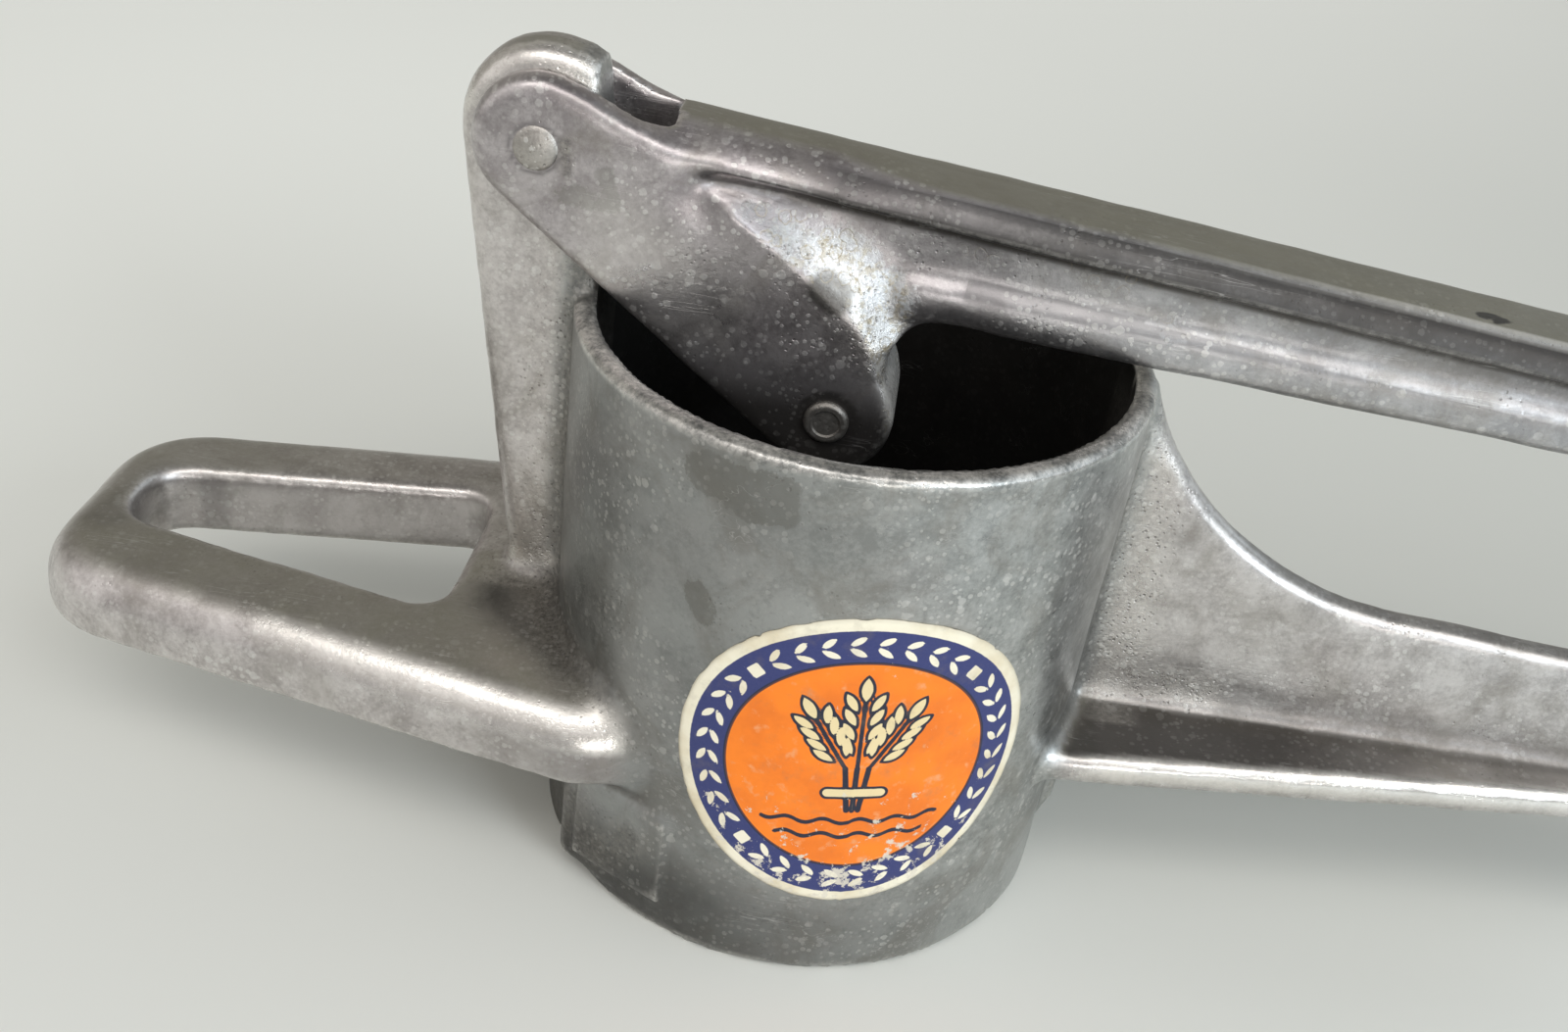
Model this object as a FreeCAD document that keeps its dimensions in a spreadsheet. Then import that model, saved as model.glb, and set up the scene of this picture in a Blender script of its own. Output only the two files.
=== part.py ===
import FreeCAD, Part
import Sketcher
import math
import os

# A cast-aluminium press for soft dough. A round pot with a perforated floor carries a loop handle
# with a pivot post on one side and a T-shaped handle on the other. A lever turns on the post and
# pushes a plunger down the pot through a hinged stem.
#
# Frame: origin at the centre of the pot's underside, +X along the lower handle, +Z up.
# Rest position: the lever is down and the plunger lies just above the pot's floor.

doc = FreeCAD.newDocument("dough_press")
sheet = doc.addObject("Spreadsheet::Sheet", "Sizes")

# Driving sizes, in millimetres and degrees.
SIZES = {
    # pot
    "pot_height": 85.7,
    "bore_radius": 37.7,
    "foot_wall": 2.1,
    "rim_wall": 3.0,
    "rim_round": 0.7,
    "foot_round": 0.5,
    "floor_thickness": 5.5,
    "drain_radius": 1.6,
    "drain_pitch": 7.0,
    # pivot post
    "pivot_across": 46.0,
    "pivot_height": 107.0,
    "head_radius": 12.0,
    "post_thickness": 10.0,
    "post_lean_angle": 7.7,
    "post_edge_round": 3.4,
    "head_face_across": 39.5,
    # loop handle
    "loop_floor": 24.5,
    "loop_depth": 12.2,
    "loop_reach": 118.5,
    "loop_nose_half": 21.5,
    "loop_root_half": 37.1,
    "loop_root_across": 30.0,
    "loop_blend_across": 18.5,
    "loop_nose_round": 16.0,
    "loop_top_round": 8.0,
    "loop_edge_round": 1.4,
    "eye_near": 55.5,
    "loop_nose_wall": 9.6,
    "eye_near_half": 16.4,
    "eye_far_half": 6.6,
    "eye_near_round": 4.5,
    "eye_far_round": 6.5,
    # lug under the loop and rib under the lower handle
    "lug_proud": 3.3,
    "lug_floor": 3.0,
    "lug_corner_angle": 40.0,
    "lug_blend_angle": 64.0,
    "rib_proud": 2.0,
    "rib_floor": 9.0,
    "rib_half_angle": 9.0,
    # lower handle: flange and web
    "handle_reach": 281.0,
    "flange_thickness": 5.6,
    "flange_root_floor": 25.5,
    "flange_angle": 2.35,
    "flange_root_half": 19.0,
    "flange_neck_across": 124.0,
    "flange_neck_half": 8.8,
    "flange_end_half": 9.6,
    "flange_edge_round": 2.1,
    "flange_end_round": 8.0,
    "web_thickness": 5.2,
    "web_rim_across": 41.0,
    "web_low_across": 82.0,
    "web_low_height": 54.2,
    "web_sweep": 48.5,
    "web_end_height": 45.0,
    "web_top_round": 1.9,
    "web_end_round": 4.0,
    "web_end_setback": 6.0,
    # lever
    "arm_length": 53.3,
    "arm_angle": 37.0,
    "cheek_radius": 9.2,
    "lever_width": 18.4,
    "cheek_width": 19.2,
    "lever_reach": 285.0,
    "lever_root_height": 113.6,
    "lever_root_across": 38.0,
    "lever_angle": 4.5,
    "lever_neck_height": 89.9,
    "lever_neck_across": 3.9,
    "lever_neck_round": 5.5,
    "lever_end_floor": 79.4,
    "cap_depth": 5.4,
    "crown_radius": 11.5,
    "cap_lip_round": 0.7,
    "bead_width": 13.0,
    "bead_depth": 7.0,
    "bead_round": 2.6,
    "bead_setback": 3.0,
    "panel_thickness": 9.0,
    "lever_end_round": 7.5,
    "cheek_edge_round": 2.2,
    "nape_run": 6.8,
    "nape_rise": 7.4,
    "saddle_run": 11.0,
    "saddle_rise": 5.4,
    "roof_run": 19.0,
    "roof_drop": 3.0,
    "fork_run": 23.6,
    "shoulder_run": 17.8,
    "shoulder_width": 9.0,
    "shoulder_end": 2.5,
    "slot_across": 16.9,
    "slot_drop": 6.0,
    # stem, pins and plunger
    "pin_radius": 3.0,
    "fulcrum_proud": 0.5,
    "stem_pin_proud": 1.0,
    "pin_bevel": 0.6,
    "stem_length": 50.5,
    "stem_eye_radius": 6.4,
    "stem_waist": 11.0,
    "stem_edge_round": 1.2,
    "stem_neck_round": 4.0,
    "plunger_thickness": 9.0,
    "plunger_edge_round": 1.0,
    "plunger_rise": 48.1,
    "ear_thickness": 4.0,
    "ear_wall": 3.4,
    "ear_top_round": 4.0,
    # label
    "label_radius": 25.0,
    "label_height": 40.0,
    "label_angle": 12.7,
    "label_thickness": 0.25,
    # clearances
    "side_gap": 0.3,
    "running_gap": 0.05,
    "seat_gap": 0.02,
    "bore_gap": 0.4,
    "floor_gap": 0.3,
    "turning_gap": 0.7,
    "slot_gap": 0.4,
    "paper_gap": 0.1,
}

for row, (name, number) in enumerate(SIZES.items(), start=1):
    sheet.set("A%d" % row, name)
    sheet.set("B%d" % row, str(number))
    sheet.setAlias("B%d" % row, name)
doc.recompute()

# The motion that the slotted ears of the plunger are sized for: opening angle of the lever, and turn
# of the stem against the lever. plunger_rise above is the plunger's rise for each radian of opening.
OPENING_ANGLE = 100
STEM_TURN_RATIO = -0.85


class Size:
    """A size worked out from the sheet: its value now, and the expression that gives it."""

    def __init__(self, value, text):
        self.value = value
        self.text = text

    def __add__(self, other):
        other = as_size(other)
        return Size(self.value + other.value, "(%s + %s)" % (self.text, other.text))

    def __sub__(self, other):
        other = as_size(other)
        return Size(self.value - other.value, "(%s - %s)" % (self.text, other.text))

    def __mul__(self, other):
        other = as_size(other)
        return Size(self.value * other.value, "(%s * %s)" % (self.text, other.text))

    def __truediv__(self, other):
        other = as_size(other)
        return Size(self.value / other.value, "(%s / %s)" % (self.text, other.text))

    def __neg__(self):
        return Size(-self.value, "(0 - %s)" % self.text)


def as_size(number):
    return number if isinstance(number, Size) else Size(float(number), repr(float(number)))


def cell(name):
    return Size(float(sheet.get(name)), "Sizes.%s" % name)


def sine(angle):
    return Size(math.sin(math.radians(angle.value)), "sin(%s)" % angle.text)


def cosine(angle):
    return Size(math.cos(math.radians(angle.value)), "cos(%s)" % angle.text)


def tangent(angle):
    return Size(math.tan(math.radians(angle.value)), "tan(%s)" % angle.text)


def root_of(area):
    return Size(math.sqrt(area.value), "sqrt(%s)" % area.text)


def bind(thing, prop, size):
    """Set a property from a size and tie it to the sheet."""
    size = as_size(size)
    thing.setExpression(prop, size.text)


def origin_plane(body, role):
    return [feature for feature in body.Origin.OriginFeatures if feature.Role == role][0]


def attached_sketch(body, name, role, lift=None):
    """An empty sketch on one of the body's origin planes, lifted along the plane's normal."""
    sketch = body.newObject("Sketcher::SketchObject", name)
    sketch.AttachmentSupport = [(origin_plane(body, role), "")]
    sketch.MapMode = "FlatFace"
    if lift is not None:
        bind(sketch, "AttachmentOffset.Base.z", lift)
    return sketch


def arc_geometry(start, end, radius, side):
    """The arc from start to end with its centre on the left (+1) or the right (-1) of the way."""
    along = FreeCAD.Vector(end[0] - start[0], end[1] - start[1], 0)
    middle = FreeCAD.Vector(start[0] + end[0], start[1] + end[1], 0) * 0.5
    reach = math.sqrt(max(radius ** 2 - (along.Length / 2) ** 2, 0.0))
    left = FreeCAD.Vector(-along.y, along.x, 0).normalize()
    centre = middle + left * (reach * side)
    first, last = (start, end) if side > 0 else (end, start)
    begin = math.atan2(first[1] - centre.y, first[0] - centre.x)
    finish = math.atan2(last[1] - centre.y, last[0] - centre.x)
    return Part.ArcOfCircle(Part.Circle(centre, FreeCAD.Vector(0, 0, 1), radius), begin, finish)


def draw_outline(sketch, corners):
    """Draw a closed outline. A corner is (x, y), or (x, y, radius, side) where an arc leaves it."""
    first = sketch.GeometryCount
    count = len(corners)
    places = [(as_size(corner[0]), as_size(corner[1])) for corner in corners]
    ends = []
    for index, corner in enumerate(corners):
        start = (places[index][0].value, places[index][1].value)
        follow = places[(index + 1) % count]
        end = (follow[0].value, follow[1].value)
        if len(corner) == 2:
            line = Part.LineSegment(FreeCAD.Vector(*start, 0), FreeCAD.Vector(*end, 0))
            sketch.addGeometry(line, False)
            ends.append((1, 2))
        else:
            radius = as_size(corner[2])
            sketch.addGeometry(arc_geometry(start, end, radius.value, corner[3]), False)
            ends.append((1, 2) if corner[3] > 0 else (2, 1))
    for index, corner in enumerate(corners):
        edge = first + index
        before = first + (index - 1) % count
        begin = ends[index][0]
        sketch.addConstraint(Sketcher.Constraint("Coincident", before, ends[index - 1][1], edge, begin))
        for kind, size in zip(("DistanceX", "DistanceY"), places[index]):
            rule = sketch.addConstraint(Sketcher.Constraint(kind, -1, 1, edge, begin, size.value))
            bind(sketch, "Constraints[%d]" % rule, size)
        if len(corner) > 2:
            radius = as_size(corner[2])
            rule = sketch.addConstraint(Sketcher.Constraint("Radius", edge, radius.value))
            bind(sketch, "Constraints[%d]" % rule, radius)


def draw_circle(sketch, across, up, radius):
    across, up, radius = as_size(across), as_size(up), as_size(radius)
    centre = FreeCAD.Vector(across.value, up.value, 0)
    ring = sketch.addGeometry(Part.Circle(centre, FreeCAD.Vector(0, 0, 1), radius.value), False)
    for kind, size in (("DistanceX", across), ("DistanceY", up)):
        rule = sketch.addConstraint(Sketcher.Constraint(kind, -1, 1, ring, 3, size.value))
        bind(sketch, "Constraints[%d]" % rule, size)
    rule = sketch.addConstraint(Sketcher.Constraint("Radius", ring, radius.value))
    bind(sketch, "Constraints[%d]" % rule, radius)


def profile(body, name, role, corners, lift=None):
    sketch = attached_sketch(body, name, role, lift)
    draw_outline(sketch, corners)
    return sketch


def check_feature(feature):
    if "Invalid" in feature.State or "Error" in feature.State:
        raise RuntimeError("%s has failed" % feature.Name)


def pad(body, name, sketch, length, both_ways=False):
    feature = body.newObject("PartDesign::Pad", name)
    feature.Profile = sketch
    feature.SideType = "Symmetric" if both_ways else "One side"
    bind(feature, "Length", length)
    doc.recompute()
    return feature


def pocket(body, name, sketch, length, both_ways=False, reverse=False):
    """Cut a sketch out of the body, and make sure that the cut takes something away."""
    before = body.Shape.Volume
    feature = body.newObject("PartDesign::Pocket", name)
    feature.Profile = sketch
    feature.SideType = "Symmetric" if both_ways else "One side"
    feature.Reversed = reverse
    bind(feature, "Length", length)
    doc.recompute()
    if body.Shape.Volume >= before:
        raise RuntimeError("%s removes nothing" % name)
    return feature


def turn(body, name, sketch, angle=360, both_ways=False):
    feature = body.newObject("PartDesign::Revolution", name)
    feature.Profile = sketch
    feature.ReferenceAxis = (sketch, ["V_Axis"])
    feature.Midplane = both_ways
    bind(feature, "Angle", angle)
    doc.recompute()
    return feature


def round_edges(body, name, radius, wanted):
    """Round the edges of the body's tip for which wanted(edge) is true."""
    tip = body.Tip
    names = ["Edge%d" % (i + 1) for i, edge in enumerate(tip.Shape.Edges) if wanted(edge)]
    if not names:
        raise RuntimeError("%s finds no edge" % name)
    feature = body.newObject("PartDesign::Fillet", name)
    feature.Base = (tip, names)
    bind(feature, "Radius", radius)
    doc.recompute()
    check_feature(feature)
    return feature


def box_of(edge):
    return edge.BoundBox


def place(body, across, up):
    """Move a piece that is drawn round its own axis to its place in the side view."""
    body.Placement.Base = FreeCAD.Vector(across.value, 0, up.value)
    bind(body, "Placement.Base.x", across)
    bind(body, "Placement.Base.z", up)


def new_body(name):
    body = doc.addObject("PartDesign::Body", name)
    body.Label = name
    return body


# Places that several pieces share.
PIVOT_X = -cell("pivot_across")
PIVOT_Z = cell("pivot_height")
JOINT_X = PIVOT_X + cell("arm_length") * cosine(cell("arm_angle"))
JOINT_Z = PIVOT_Z - cell("arm_length") * sine(cell("arm_angle"))
LOOP_TOP = cell("loop_floor") + cell("loop_depth")
FOOT_Z = JOINT_Z - cell("stem_length")
SLOT_HALF = cell("post_thickness") / 2 + cell("side_gap")
POT_FOOT = cell("bore_radius") + cell("foot_wall")
POT_RIM = cell("bore_radius") + cell("rim_wall")
WIDE = cell("pot_height") * 2


def around_pivot(radius, angle):
    """A point at an angle round the lever's pivot."""
    return (PIVOT_X + radius * cosine(angle), PIVOT_Z + radius * sine(angle))


def around_joint(radius, angle):
    """A point at an angle round the joint of lever and stem."""
    return (JOINT_X + radius * cosine(angle), JOINT_Z + radius * sine(angle))


def upright(edge):
    box = box_of(edge)
    return box.ZLength > 1 and box.XLength < 0.01 and box.YLength < 0.01


def level_at(edge, height):
    box = box_of(edge)
    return abs(box.ZMin - height) < 0.01 and abs(box.ZMax - height) < 0.01


def runs_beside(edge, half):
    """True for an edge that lies in one of the planes y = half and y = -half."""
    box = box_of(edge)
    return box.YLength < 0.01 and abs(abs(box.YMin) - half) < 0.01


# ---- Body casting: pot, post, loop handle, lower handle ----

def flange_floor(across):
    rise = (as_size(across) - cell("bore_radius")) * tangent(cell("flange_angle"))
    return cell("flange_root_floor") + rise


def build_loop(body):
    """The flat loop with its open eye, rounded over on the outside."""
    root, nose = cell("loop_root_half"), cell("loop_nose_half")
    root_x, nose_x = -cell("loop_root_across"), -cell("loop_reach")
    blend_x, blend_y = -cell("loop_blend_across"), cell("bore_radius") - 3
    ring = profile(body, "LoopOutline", "XY_Plane", [
        (blend_x, blend_y), (root_x, root), (nose_x, nose),
        (nose_x, -nose), (root_x, -root), (blend_x, -blend_y)], cell("loop_floor"))
    near_x, far_x = -cell("eye_near"), nose_x + cell("loop_nose_wall")
    near, far = cell("eye_near_half"), cell("eye_far_half")
    pad(body, "LoopPlate", ring, cell("loop_depth"))
    nose_value = nose_x.value
    round_edges(body, "LoopNose", cell("loop_nose_round"),
                lambda e: upright(e) and abs(box_of(e).XMin - nose_value) < 0.01)
    eye = profile(body, "EyeOutline", "XY_Plane", [
        (near_x, near), (near_x, -near), (far_x, -far), (far_x, far)], cell("loop_floor") - 1)
    pocket(body, "Eye", eye, cell("loop_depth") + 2, reverse=True)
    round_edges(body, "EyeNear", cell("eye_near_round"),
                lambda e: upright(e) and abs(box_of(e).XMin - near_x.value) < 0.01)
    round_edges(body, "EyeFar", cell("eye_far_round"),
                lambda e: upright(e) and abs(box_of(e).XMin - far_x.value) < 0.01)

    def outside(edge):
        box = box_of(edge)
        return max(abs(box.YMin), abs(box.YMax)) > nose.value - 0.01 or box.XMin < nose_value + 0.01

    def open_rim(edge, height):
        return level_at(edge, height) and box_of(edge).XMin < blend_x.value - 0.01
    round_edges(body, "LoopShoulder", cell("loop_top_round"),
                lambda e: open_rim(e, LOOP_TOP.value) and outside(e))
    round_edges(body, "LoopUnderside", cell("loop_edge_round"),
                lambda e: open_rim(e, cell("loop_floor").value))
    round_edges(body, "EyeRim", cell("loop_edge_round"),
                lambda e: open_rim(e, LOOP_TOP.value) and box_of(e).XMax < near_x.value + 0.01
                and box_of(e).XMin > far_x.value - 0.01 and abs(box_of(e).YMax) < near.value + 0.01)


def build_pot(body):
    """The drafted outside of the pot, still solid."""
    foot, rim = POT_FOOT, POT_RIM
    foot_round, rim_round = cell("foot_round"), cell("rim_round")
    top = cell("pot_height")
    wall = profile(body, "PotProfile", "XZ_Plane", [
        (0, 0), (foot - foot_round, 0, foot_round, 1), (foot, foot_round),
        (rim, top - rim_round, rim_round, 1), (rim - rim_round, top), (0, top)])
    turn(body, "PotWall", wall)


def build_post(body):
    """The upright that carries the pivot, with its round head."""
    head = cell("head_radius")
    lean = cell("post_lean_angle")
    inner_x = -(cell("bore_radius") - 2)
    face_x = -cell("head_face_across")
    face_run = face_x - PIVOT_X
    face_top = PIVOT_Z + root_of(head * head - face_run * face_run)
    shoulder_x = PIVOT_X - head * cosine(lean)
    shoulder_z = PIVOT_Z - head * sine(lean)
    foot_z = cell("loop_floor") + cell("loop_depth") / 2
    foot_x = shoulder_x + (shoulder_z - foot_z) * tangent(lean)
    side = profile(body, "PostOutline", "XZ_Plane", [
        (shoulder_x, shoulder_z), (foot_x, foot_z), (inner_x, foot_z),
        (inner_x, cell("pot_height")), (face_x, face_top, head, 1),
        (PIVOT_X, PIVOT_Z + head, head, 1)])
    pad(body, "Post", side, cell("post_thickness"), both_ways=True)
    half = cell("post_thickness").value / 2

    def outer_edge(edge):
        box = box_of(edge)
        return (runs_beside(edge, half) and box.ZMax > LOOP_TOP.value
                and box.XMax < face_x.value + 0.01 and box.ZLength > 0.5 and box.XLength > 0.5)
    round_edges(body, "PostEdges", cell("post_edge_round"), outer_edge)


def build_web(body):
    """The upright web of the lower handle, sweeping down from the pot's rim."""
    top = cell("pot_height") - cell("rim_round")
    root_x = cell("bore_radius") + 1
    end_x = cell("handle_reach") - cell("web_end_setback")
    middle = cell("flange_thickness") / 2
    web = profile(body, "WebOutline", "XZ_Plane", [
        (root_x, top), (cell("web_rim_across"), top, cell("web_sweep"), 1),
        (cell("web_low_across"), cell("web_low_height")), (end_x, cell("web_end_height")),
        (end_x, flange_floor(end_x) + middle), (root_x, flange_floor(root_x) + middle)])
    pad(body, "Web", web, cell("web_thickness"), both_ways=True)
    round_edges(body, "WebEnd", cell("web_end_round"),
                lambda e: level_at(e, cell("web_end_height").value) and box_of(e).XMin > end_x.value - 1)
    half = cell("web_thickness").value / 2
    low = flange_floor(end_x).value + 5

    def crest(edge):
        box = box_of(edge)
        sideways = runs_beside(edge, half) and box.XLength > 0.5
        return sideways and box.ZMax > low and box.ZMin > middle.value + flange_floor(root_x).value + 1
    round_edges(body, "WebCrest", cell("web_top_round"), crest)


def build_flange(body):
    """The tapering flange under the web, rising gently along the handle."""
    thick, slope = cell("flange_thickness"), cell("flange_angle")
    root_half, neck_half = cell("flange_root_half"), cell("flange_neck_half")
    end_half = cell("flange_end_half")
    neck, reach = cell("flange_neck_across") / cosine(slope), cell("handle_reach") / cosine(slope)
    root = cell("bore_radius") - 1
    plan = attached_sketch(body, "FlangePlan", "XY_Plane")
    plan.AttachmentOffset = FreeCAD.Placement(
        FreeCAD.Vector(0, 0, flange_floor(0).value),
        FreeCAD.Rotation(FreeCAD.Vector(0, -1, 0), slope.value))
    bind(plan, "AttachmentOffset.Base.z", flange_floor(0))
    bind(plan, "AttachmentOffset.Rotation.Angle", slope)
    draw_outline(plan, [
        (root, -root_half), (neck, -neck_half), (reach, -end_half),
        (reach, end_half), (neck, neck_half), (root, root_half)])
    pad(body, "Flange", plan, thick)
    end_x = cell("handle_reach").value
    start = POT_RIM.value
    top_low = cell("flange_root_floor").value + 22

    def corner(edge):
        box = box_of(edge)
        return box.XMin > end_x - 1 and box.YLength < 0.01 and box.ZLength > 1
    round_edges(body, "FlangeEnd", cell("flange_end_round"), corner)
    web_half = cell("web_thickness").value / 2

    def rim_edge(edge):
        box = box_of(edge)
        outside = max(abs(box.YMin), abs(box.YMax)) > web_half + 0.5 or box.XMin > end_x - 1
        long = box.XLength > 1 or box.XMin > end_x - 1
        return box.XMax > start + 5 and long and outside and box.ZMax < top_low
    round_edges(body, "FlangeEdges", cell("flange_edge_round"), rim_edge)


def build_lugs(body):
    """The two flat lugs that carry the loop's arms down the pot, and the rib under the flange."""
    inside = cell("bore_radius") + 0.5
    floor = cell("lug_floor")
    corner, blend = cell("lug_corner_angle"), cell("lug_blend_angle")
    inner_angle, proud = corner - 8, POT_FOOT + cell("lug_proud")
    sketch = attached_sketch(body, "LugOutline", "XY_Plane", floor)
    for side in (1, -1):
        draw_outline(sketch, [
            (-inside * cosine(inner_angle), inside * sine(inner_angle) * side),
            (-proud * cosine(corner), proud * sine(corner) * side),
            (-POT_FOOT * cosine(blend), POT_FOOT * sine(blend) * side),
            (-inside * cosine(blend), inside * sine(blend) * side)])
    pad(body, "Lugs", sketch, cell("loop_floor") + cell("loop_edge_round") + 1 - floor)
    rib, low = POT_FOOT + cell("rib_proud"), cell("rib_floor")
    top = cell("flange_root_floor") + 1
    shape = profile(body, "RibProfile", "XZ_Plane", [
        (inside, low), (POT_FOOT, low), (rib, low + 4), (rib, top), (inside, top)])
    turn(body, "Rib", shape, cell("rib_half_angle") * 2, both_ways=True)


def build_openings(body):
    """The bore, the drain holes and the hole for the fulcrum pin."""
    bore = attached_sketch(body, "BoreOutline", "XY_Plane", cell("floor_thickness"))
    draw_circle(bore, 0, 0, cell("bore_radius"))
    pocket(body, "Bore", bore, PIVOT_Z + cell("head_radius"), reverse=True)
    hole = attached_sketch(body, "PivotHoleOutline", "XZ_Plane")
    draw_circle(hole, PIVOT_X, PIVOT_Z, cell("pin_radius") + cell("running_gap"))
    pocket(body, "PivotHole", hole, WIDE, both_ways=True)
    rings = int((cell("bore_radius").value - cell("drain_radius").value - 1) / cell("drain_pitch").value)
    for ring in range(1, rings + 1):
        sketch = attached_sketch(body, "DrainOutline%d" % ring, "XY_Plane")
        draw_circle(sketch, cell("drain_pitch") * ring, 0, cell("drain_radius"))
        drain = pocket(body, "Drain%d" % ring, sketch, cell("floor_thickness") * 2, both_ways=True)
        pattern = body.newObject("PartDesign::PolarPattern", "DrainRing%d" % ring)
        pattern.Originals = [drain]
        pattern.Axis = (sketch, ["N_Axis"])
        pattern.Angle = 360
        pattern.Occurrences = 6 * ring
        body.Tip = pattern
        doc.recompute()


def build_body_casting():
    body = new_body("body_casting")
    body.AllowCompound = True
    build_web(body)
    build_flange(body)
    build_loop(body)
    build_post(body)
    build_pot(body)
    build_lugs(body)
    build_openings(body)
    return body


# ---- Lever ----

def build_bead():
    """The rounded bead along the underside of the lever, curving up out of the lower lobe."""
    body = new_body("lever_bead")
    neck = (cell("lever_neck_across"), cell("lever_neck_height"))
    lobe = around_joint(cell("cheek_radius") - 1, cell("arm_angle"))
    neck_place = (neck[0].value, neck[1].value)
    inner = around_joint(cell("cheek_radius") - 2, cell("arm_angle") * 2.5)
    depth, end_low = cell("bead_depth"), cell("lever_end_floor")
    bead_end = cell("lever_reach") - cell("bead_setback")
    bead = profile(body, "BeadOutline", "XZ_Plane", [
        lobe, neck, (bead_end, end_low), (bead_end, end_low + depth),
        (neck[0], neck[1] + depth), (neck[0] - depth, neck[1]), inner])
    pad(body, "Bead", bead, cell("bead_width"), both_ways=True)

    def in_neck(edge):
        box = box_of(edge)
        return box.YLength > 1 and math.dist((box.XMin, box.ZMin), neck_place) < 0.01
    round_edges(body, "BeadNeck", cell("lever_neck_round"), in_neck)
    half = cell("bead_width").value / 2
    round_edges(body, "BeadEdges", cell("bead_round"), lambda e: runs_beside(e, half))
    return body


def cap_top(across):
    """Height of the lever's crest at a distance along the handle."""
    fall = (across + cell("lever_root_across")) * tangent(cell("lever_angle"))
    return cell("lever_root_height") - fall


def build_cap():
    """The crowned cap along the top of the lever, with its rounded end."""
    half, crown, depth = cell("lever_width") / 2, cell("crown_radius"), cell("cap_depth")
    root_x, slope = -cell("lever_root_across"), cell("lever_angle")
    body = new_body("lever_cap")
    section = attached_sketch(body, "CapSection", "YZ_Plane")
    section.AttachmentOffset = FreeCAD.Placement(
        FreeCAD.Vector(0, cell("lever_root_height").value, root_x.value),
        FreeCAD.Rotation(FreeCAD.Vector(1, 0, 0), slope.value))
    bind(section, "AttachmentOffset.Base.y", cell("lever_root_height"))
    bind(section, "AttachmentOffset.Base.z", root_x)
    bind(section, "AttachmentOffset.Rotation.Angle", slope)
    drop = crown - root_of(crown * crown - half * half)
    draw_outline(section, [
        (half, -depth), (half, -drop, crown, 1), (-half, -drop), (-half, -depth)])
    run = (cell("lever_reach") - root_x) / cosine(slope)
    pad(body, "Crown", section, run + depth)
    plan = new_body("lever_cap_plan")
    end_x, corner = cell("lever_reach"), cell("lever_end_round")
    outline = profile(plan, "CapPlan", "XY_Plane", [
        (root_x - depth, -half), (end_x - corner, -half, corner, 1), (end_x, corner - half),
        (end_x, half - corner, corner, 1), (end_x - corner, half), (root_x - depth, half)],
        cell("pot_height") / 2)
    pad(plan, "CapPlanPad", outline, cell("lever_root_height"))
    trim = body.newObject("PartDesign::Boolean", "CapTrim")
    trim.setObjects([plan])
    trim.Type = "Common"
    doc.recompute()
    check_feature(trim)
    low = cap_top(end_x).value - depth.value

    def lip(edge):
        box = box_of(edge)
        return box.XMax > end_x.value - 0.1 and box.ZMax - low < 31 and box.ZMin < low + 0.8 \
            and (box.XLength > 50 or box.ZLength < 1.2)
    round_edges(body, "CapLip", cell("cap_lip_round"), lip)
    return body


def build_panel(body):
    """The thin upright panel between the bead and the cap."""
    root_x = -cell("lever_root_across")
    core = around_pivot(cell("cheek_radius"), as_size(0) - cell("lever_angle"))
    inner = around_joint(cell("cheek_radius") - 2, cell("arm_angle") * 2)
    neck = (cell("lever_neck_across"), cell("lever_neck_height"))
    end_x = cell("lever_reach") - cell("bead_setback") - 1
    sink = cell("cap_depth") / 2
    panel = profile(body, "PanelOutline", "XZ_Plane", [
        (root_x, cap_top(root_x) - sink), core, inner, (neck[0] - 2, neck[1]),
        (neck[0], neck[1] + 2), (end_x, cell("lever_end_floor") + 2),
        (end_x, cap_top(end_x) - sink)])
    pad(body, "Panel", panel, cell("panel_thickness"), both_ways=True)


def along_arm(run, rise):
    """A point at a distance from the pivot along the cheeks, and at another square to them."""
    drop = cell("arm_angle")
    return (PIVOT_X + run * cosine(drop) + rise * sine(drop),
            PIVOT_Z - run * sine(drop) + rise * cosine(drop))


def build_cheeks():
    """The side plates between the pivot and the joint with the stem, still one block."""
    body = new_body("lever_cheeks")
    drop, round_r = cell("arm_angle"), cell("cheek_radius")
    low_angle, high_angle = -drop - 90, as_size(90) - drop
    roof_x, fork_x = PIVOT_X + cell("roof_run"), PIVOT_X + cell("fork_run")
    roof_drop = cell("roof_drop")
    cheeks = profile(body, "CheekOutline", "XZ_Plane", [
        around_pivot(round_r, drop * 2),
        (PIVOT_X + cell("nape_run"), PIVOT_Z + cell("nape_rise")),
        (PIVOT_X + cell("saddle_run"), PIVOT_Z + cell("saddle_rise")),
        (roof_x, cap_top(roof_x) - roof_drop), (fork_x, cap_top(fork_x) - roof_drop),
        along_arm(cell("shoulder_run"), round_r),
        around_joint(round_r, high_angle) + (round_r, -1),
        around_joint(round_r, -drop) + (round_r, -1),
        around_joint(round_r, low_angle),
        around_pivot(round_r, low_angle) + (round_r, -1),
        (PIVOT_X - round_r, PIVOT_Z, round_r, -1),
        around_pivot(round_r, drop * 3) + (round_r, -1)])
    pad(body, "Cheeks", cheeks, cell("cheek_width"), both_ways=True)
    half = cell("cheek_width").value / 2
    round_edges(body, "CheekEdges", cell("cheek_edge_round"), lambda e: runs_beside(e, half))
    return body


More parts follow.
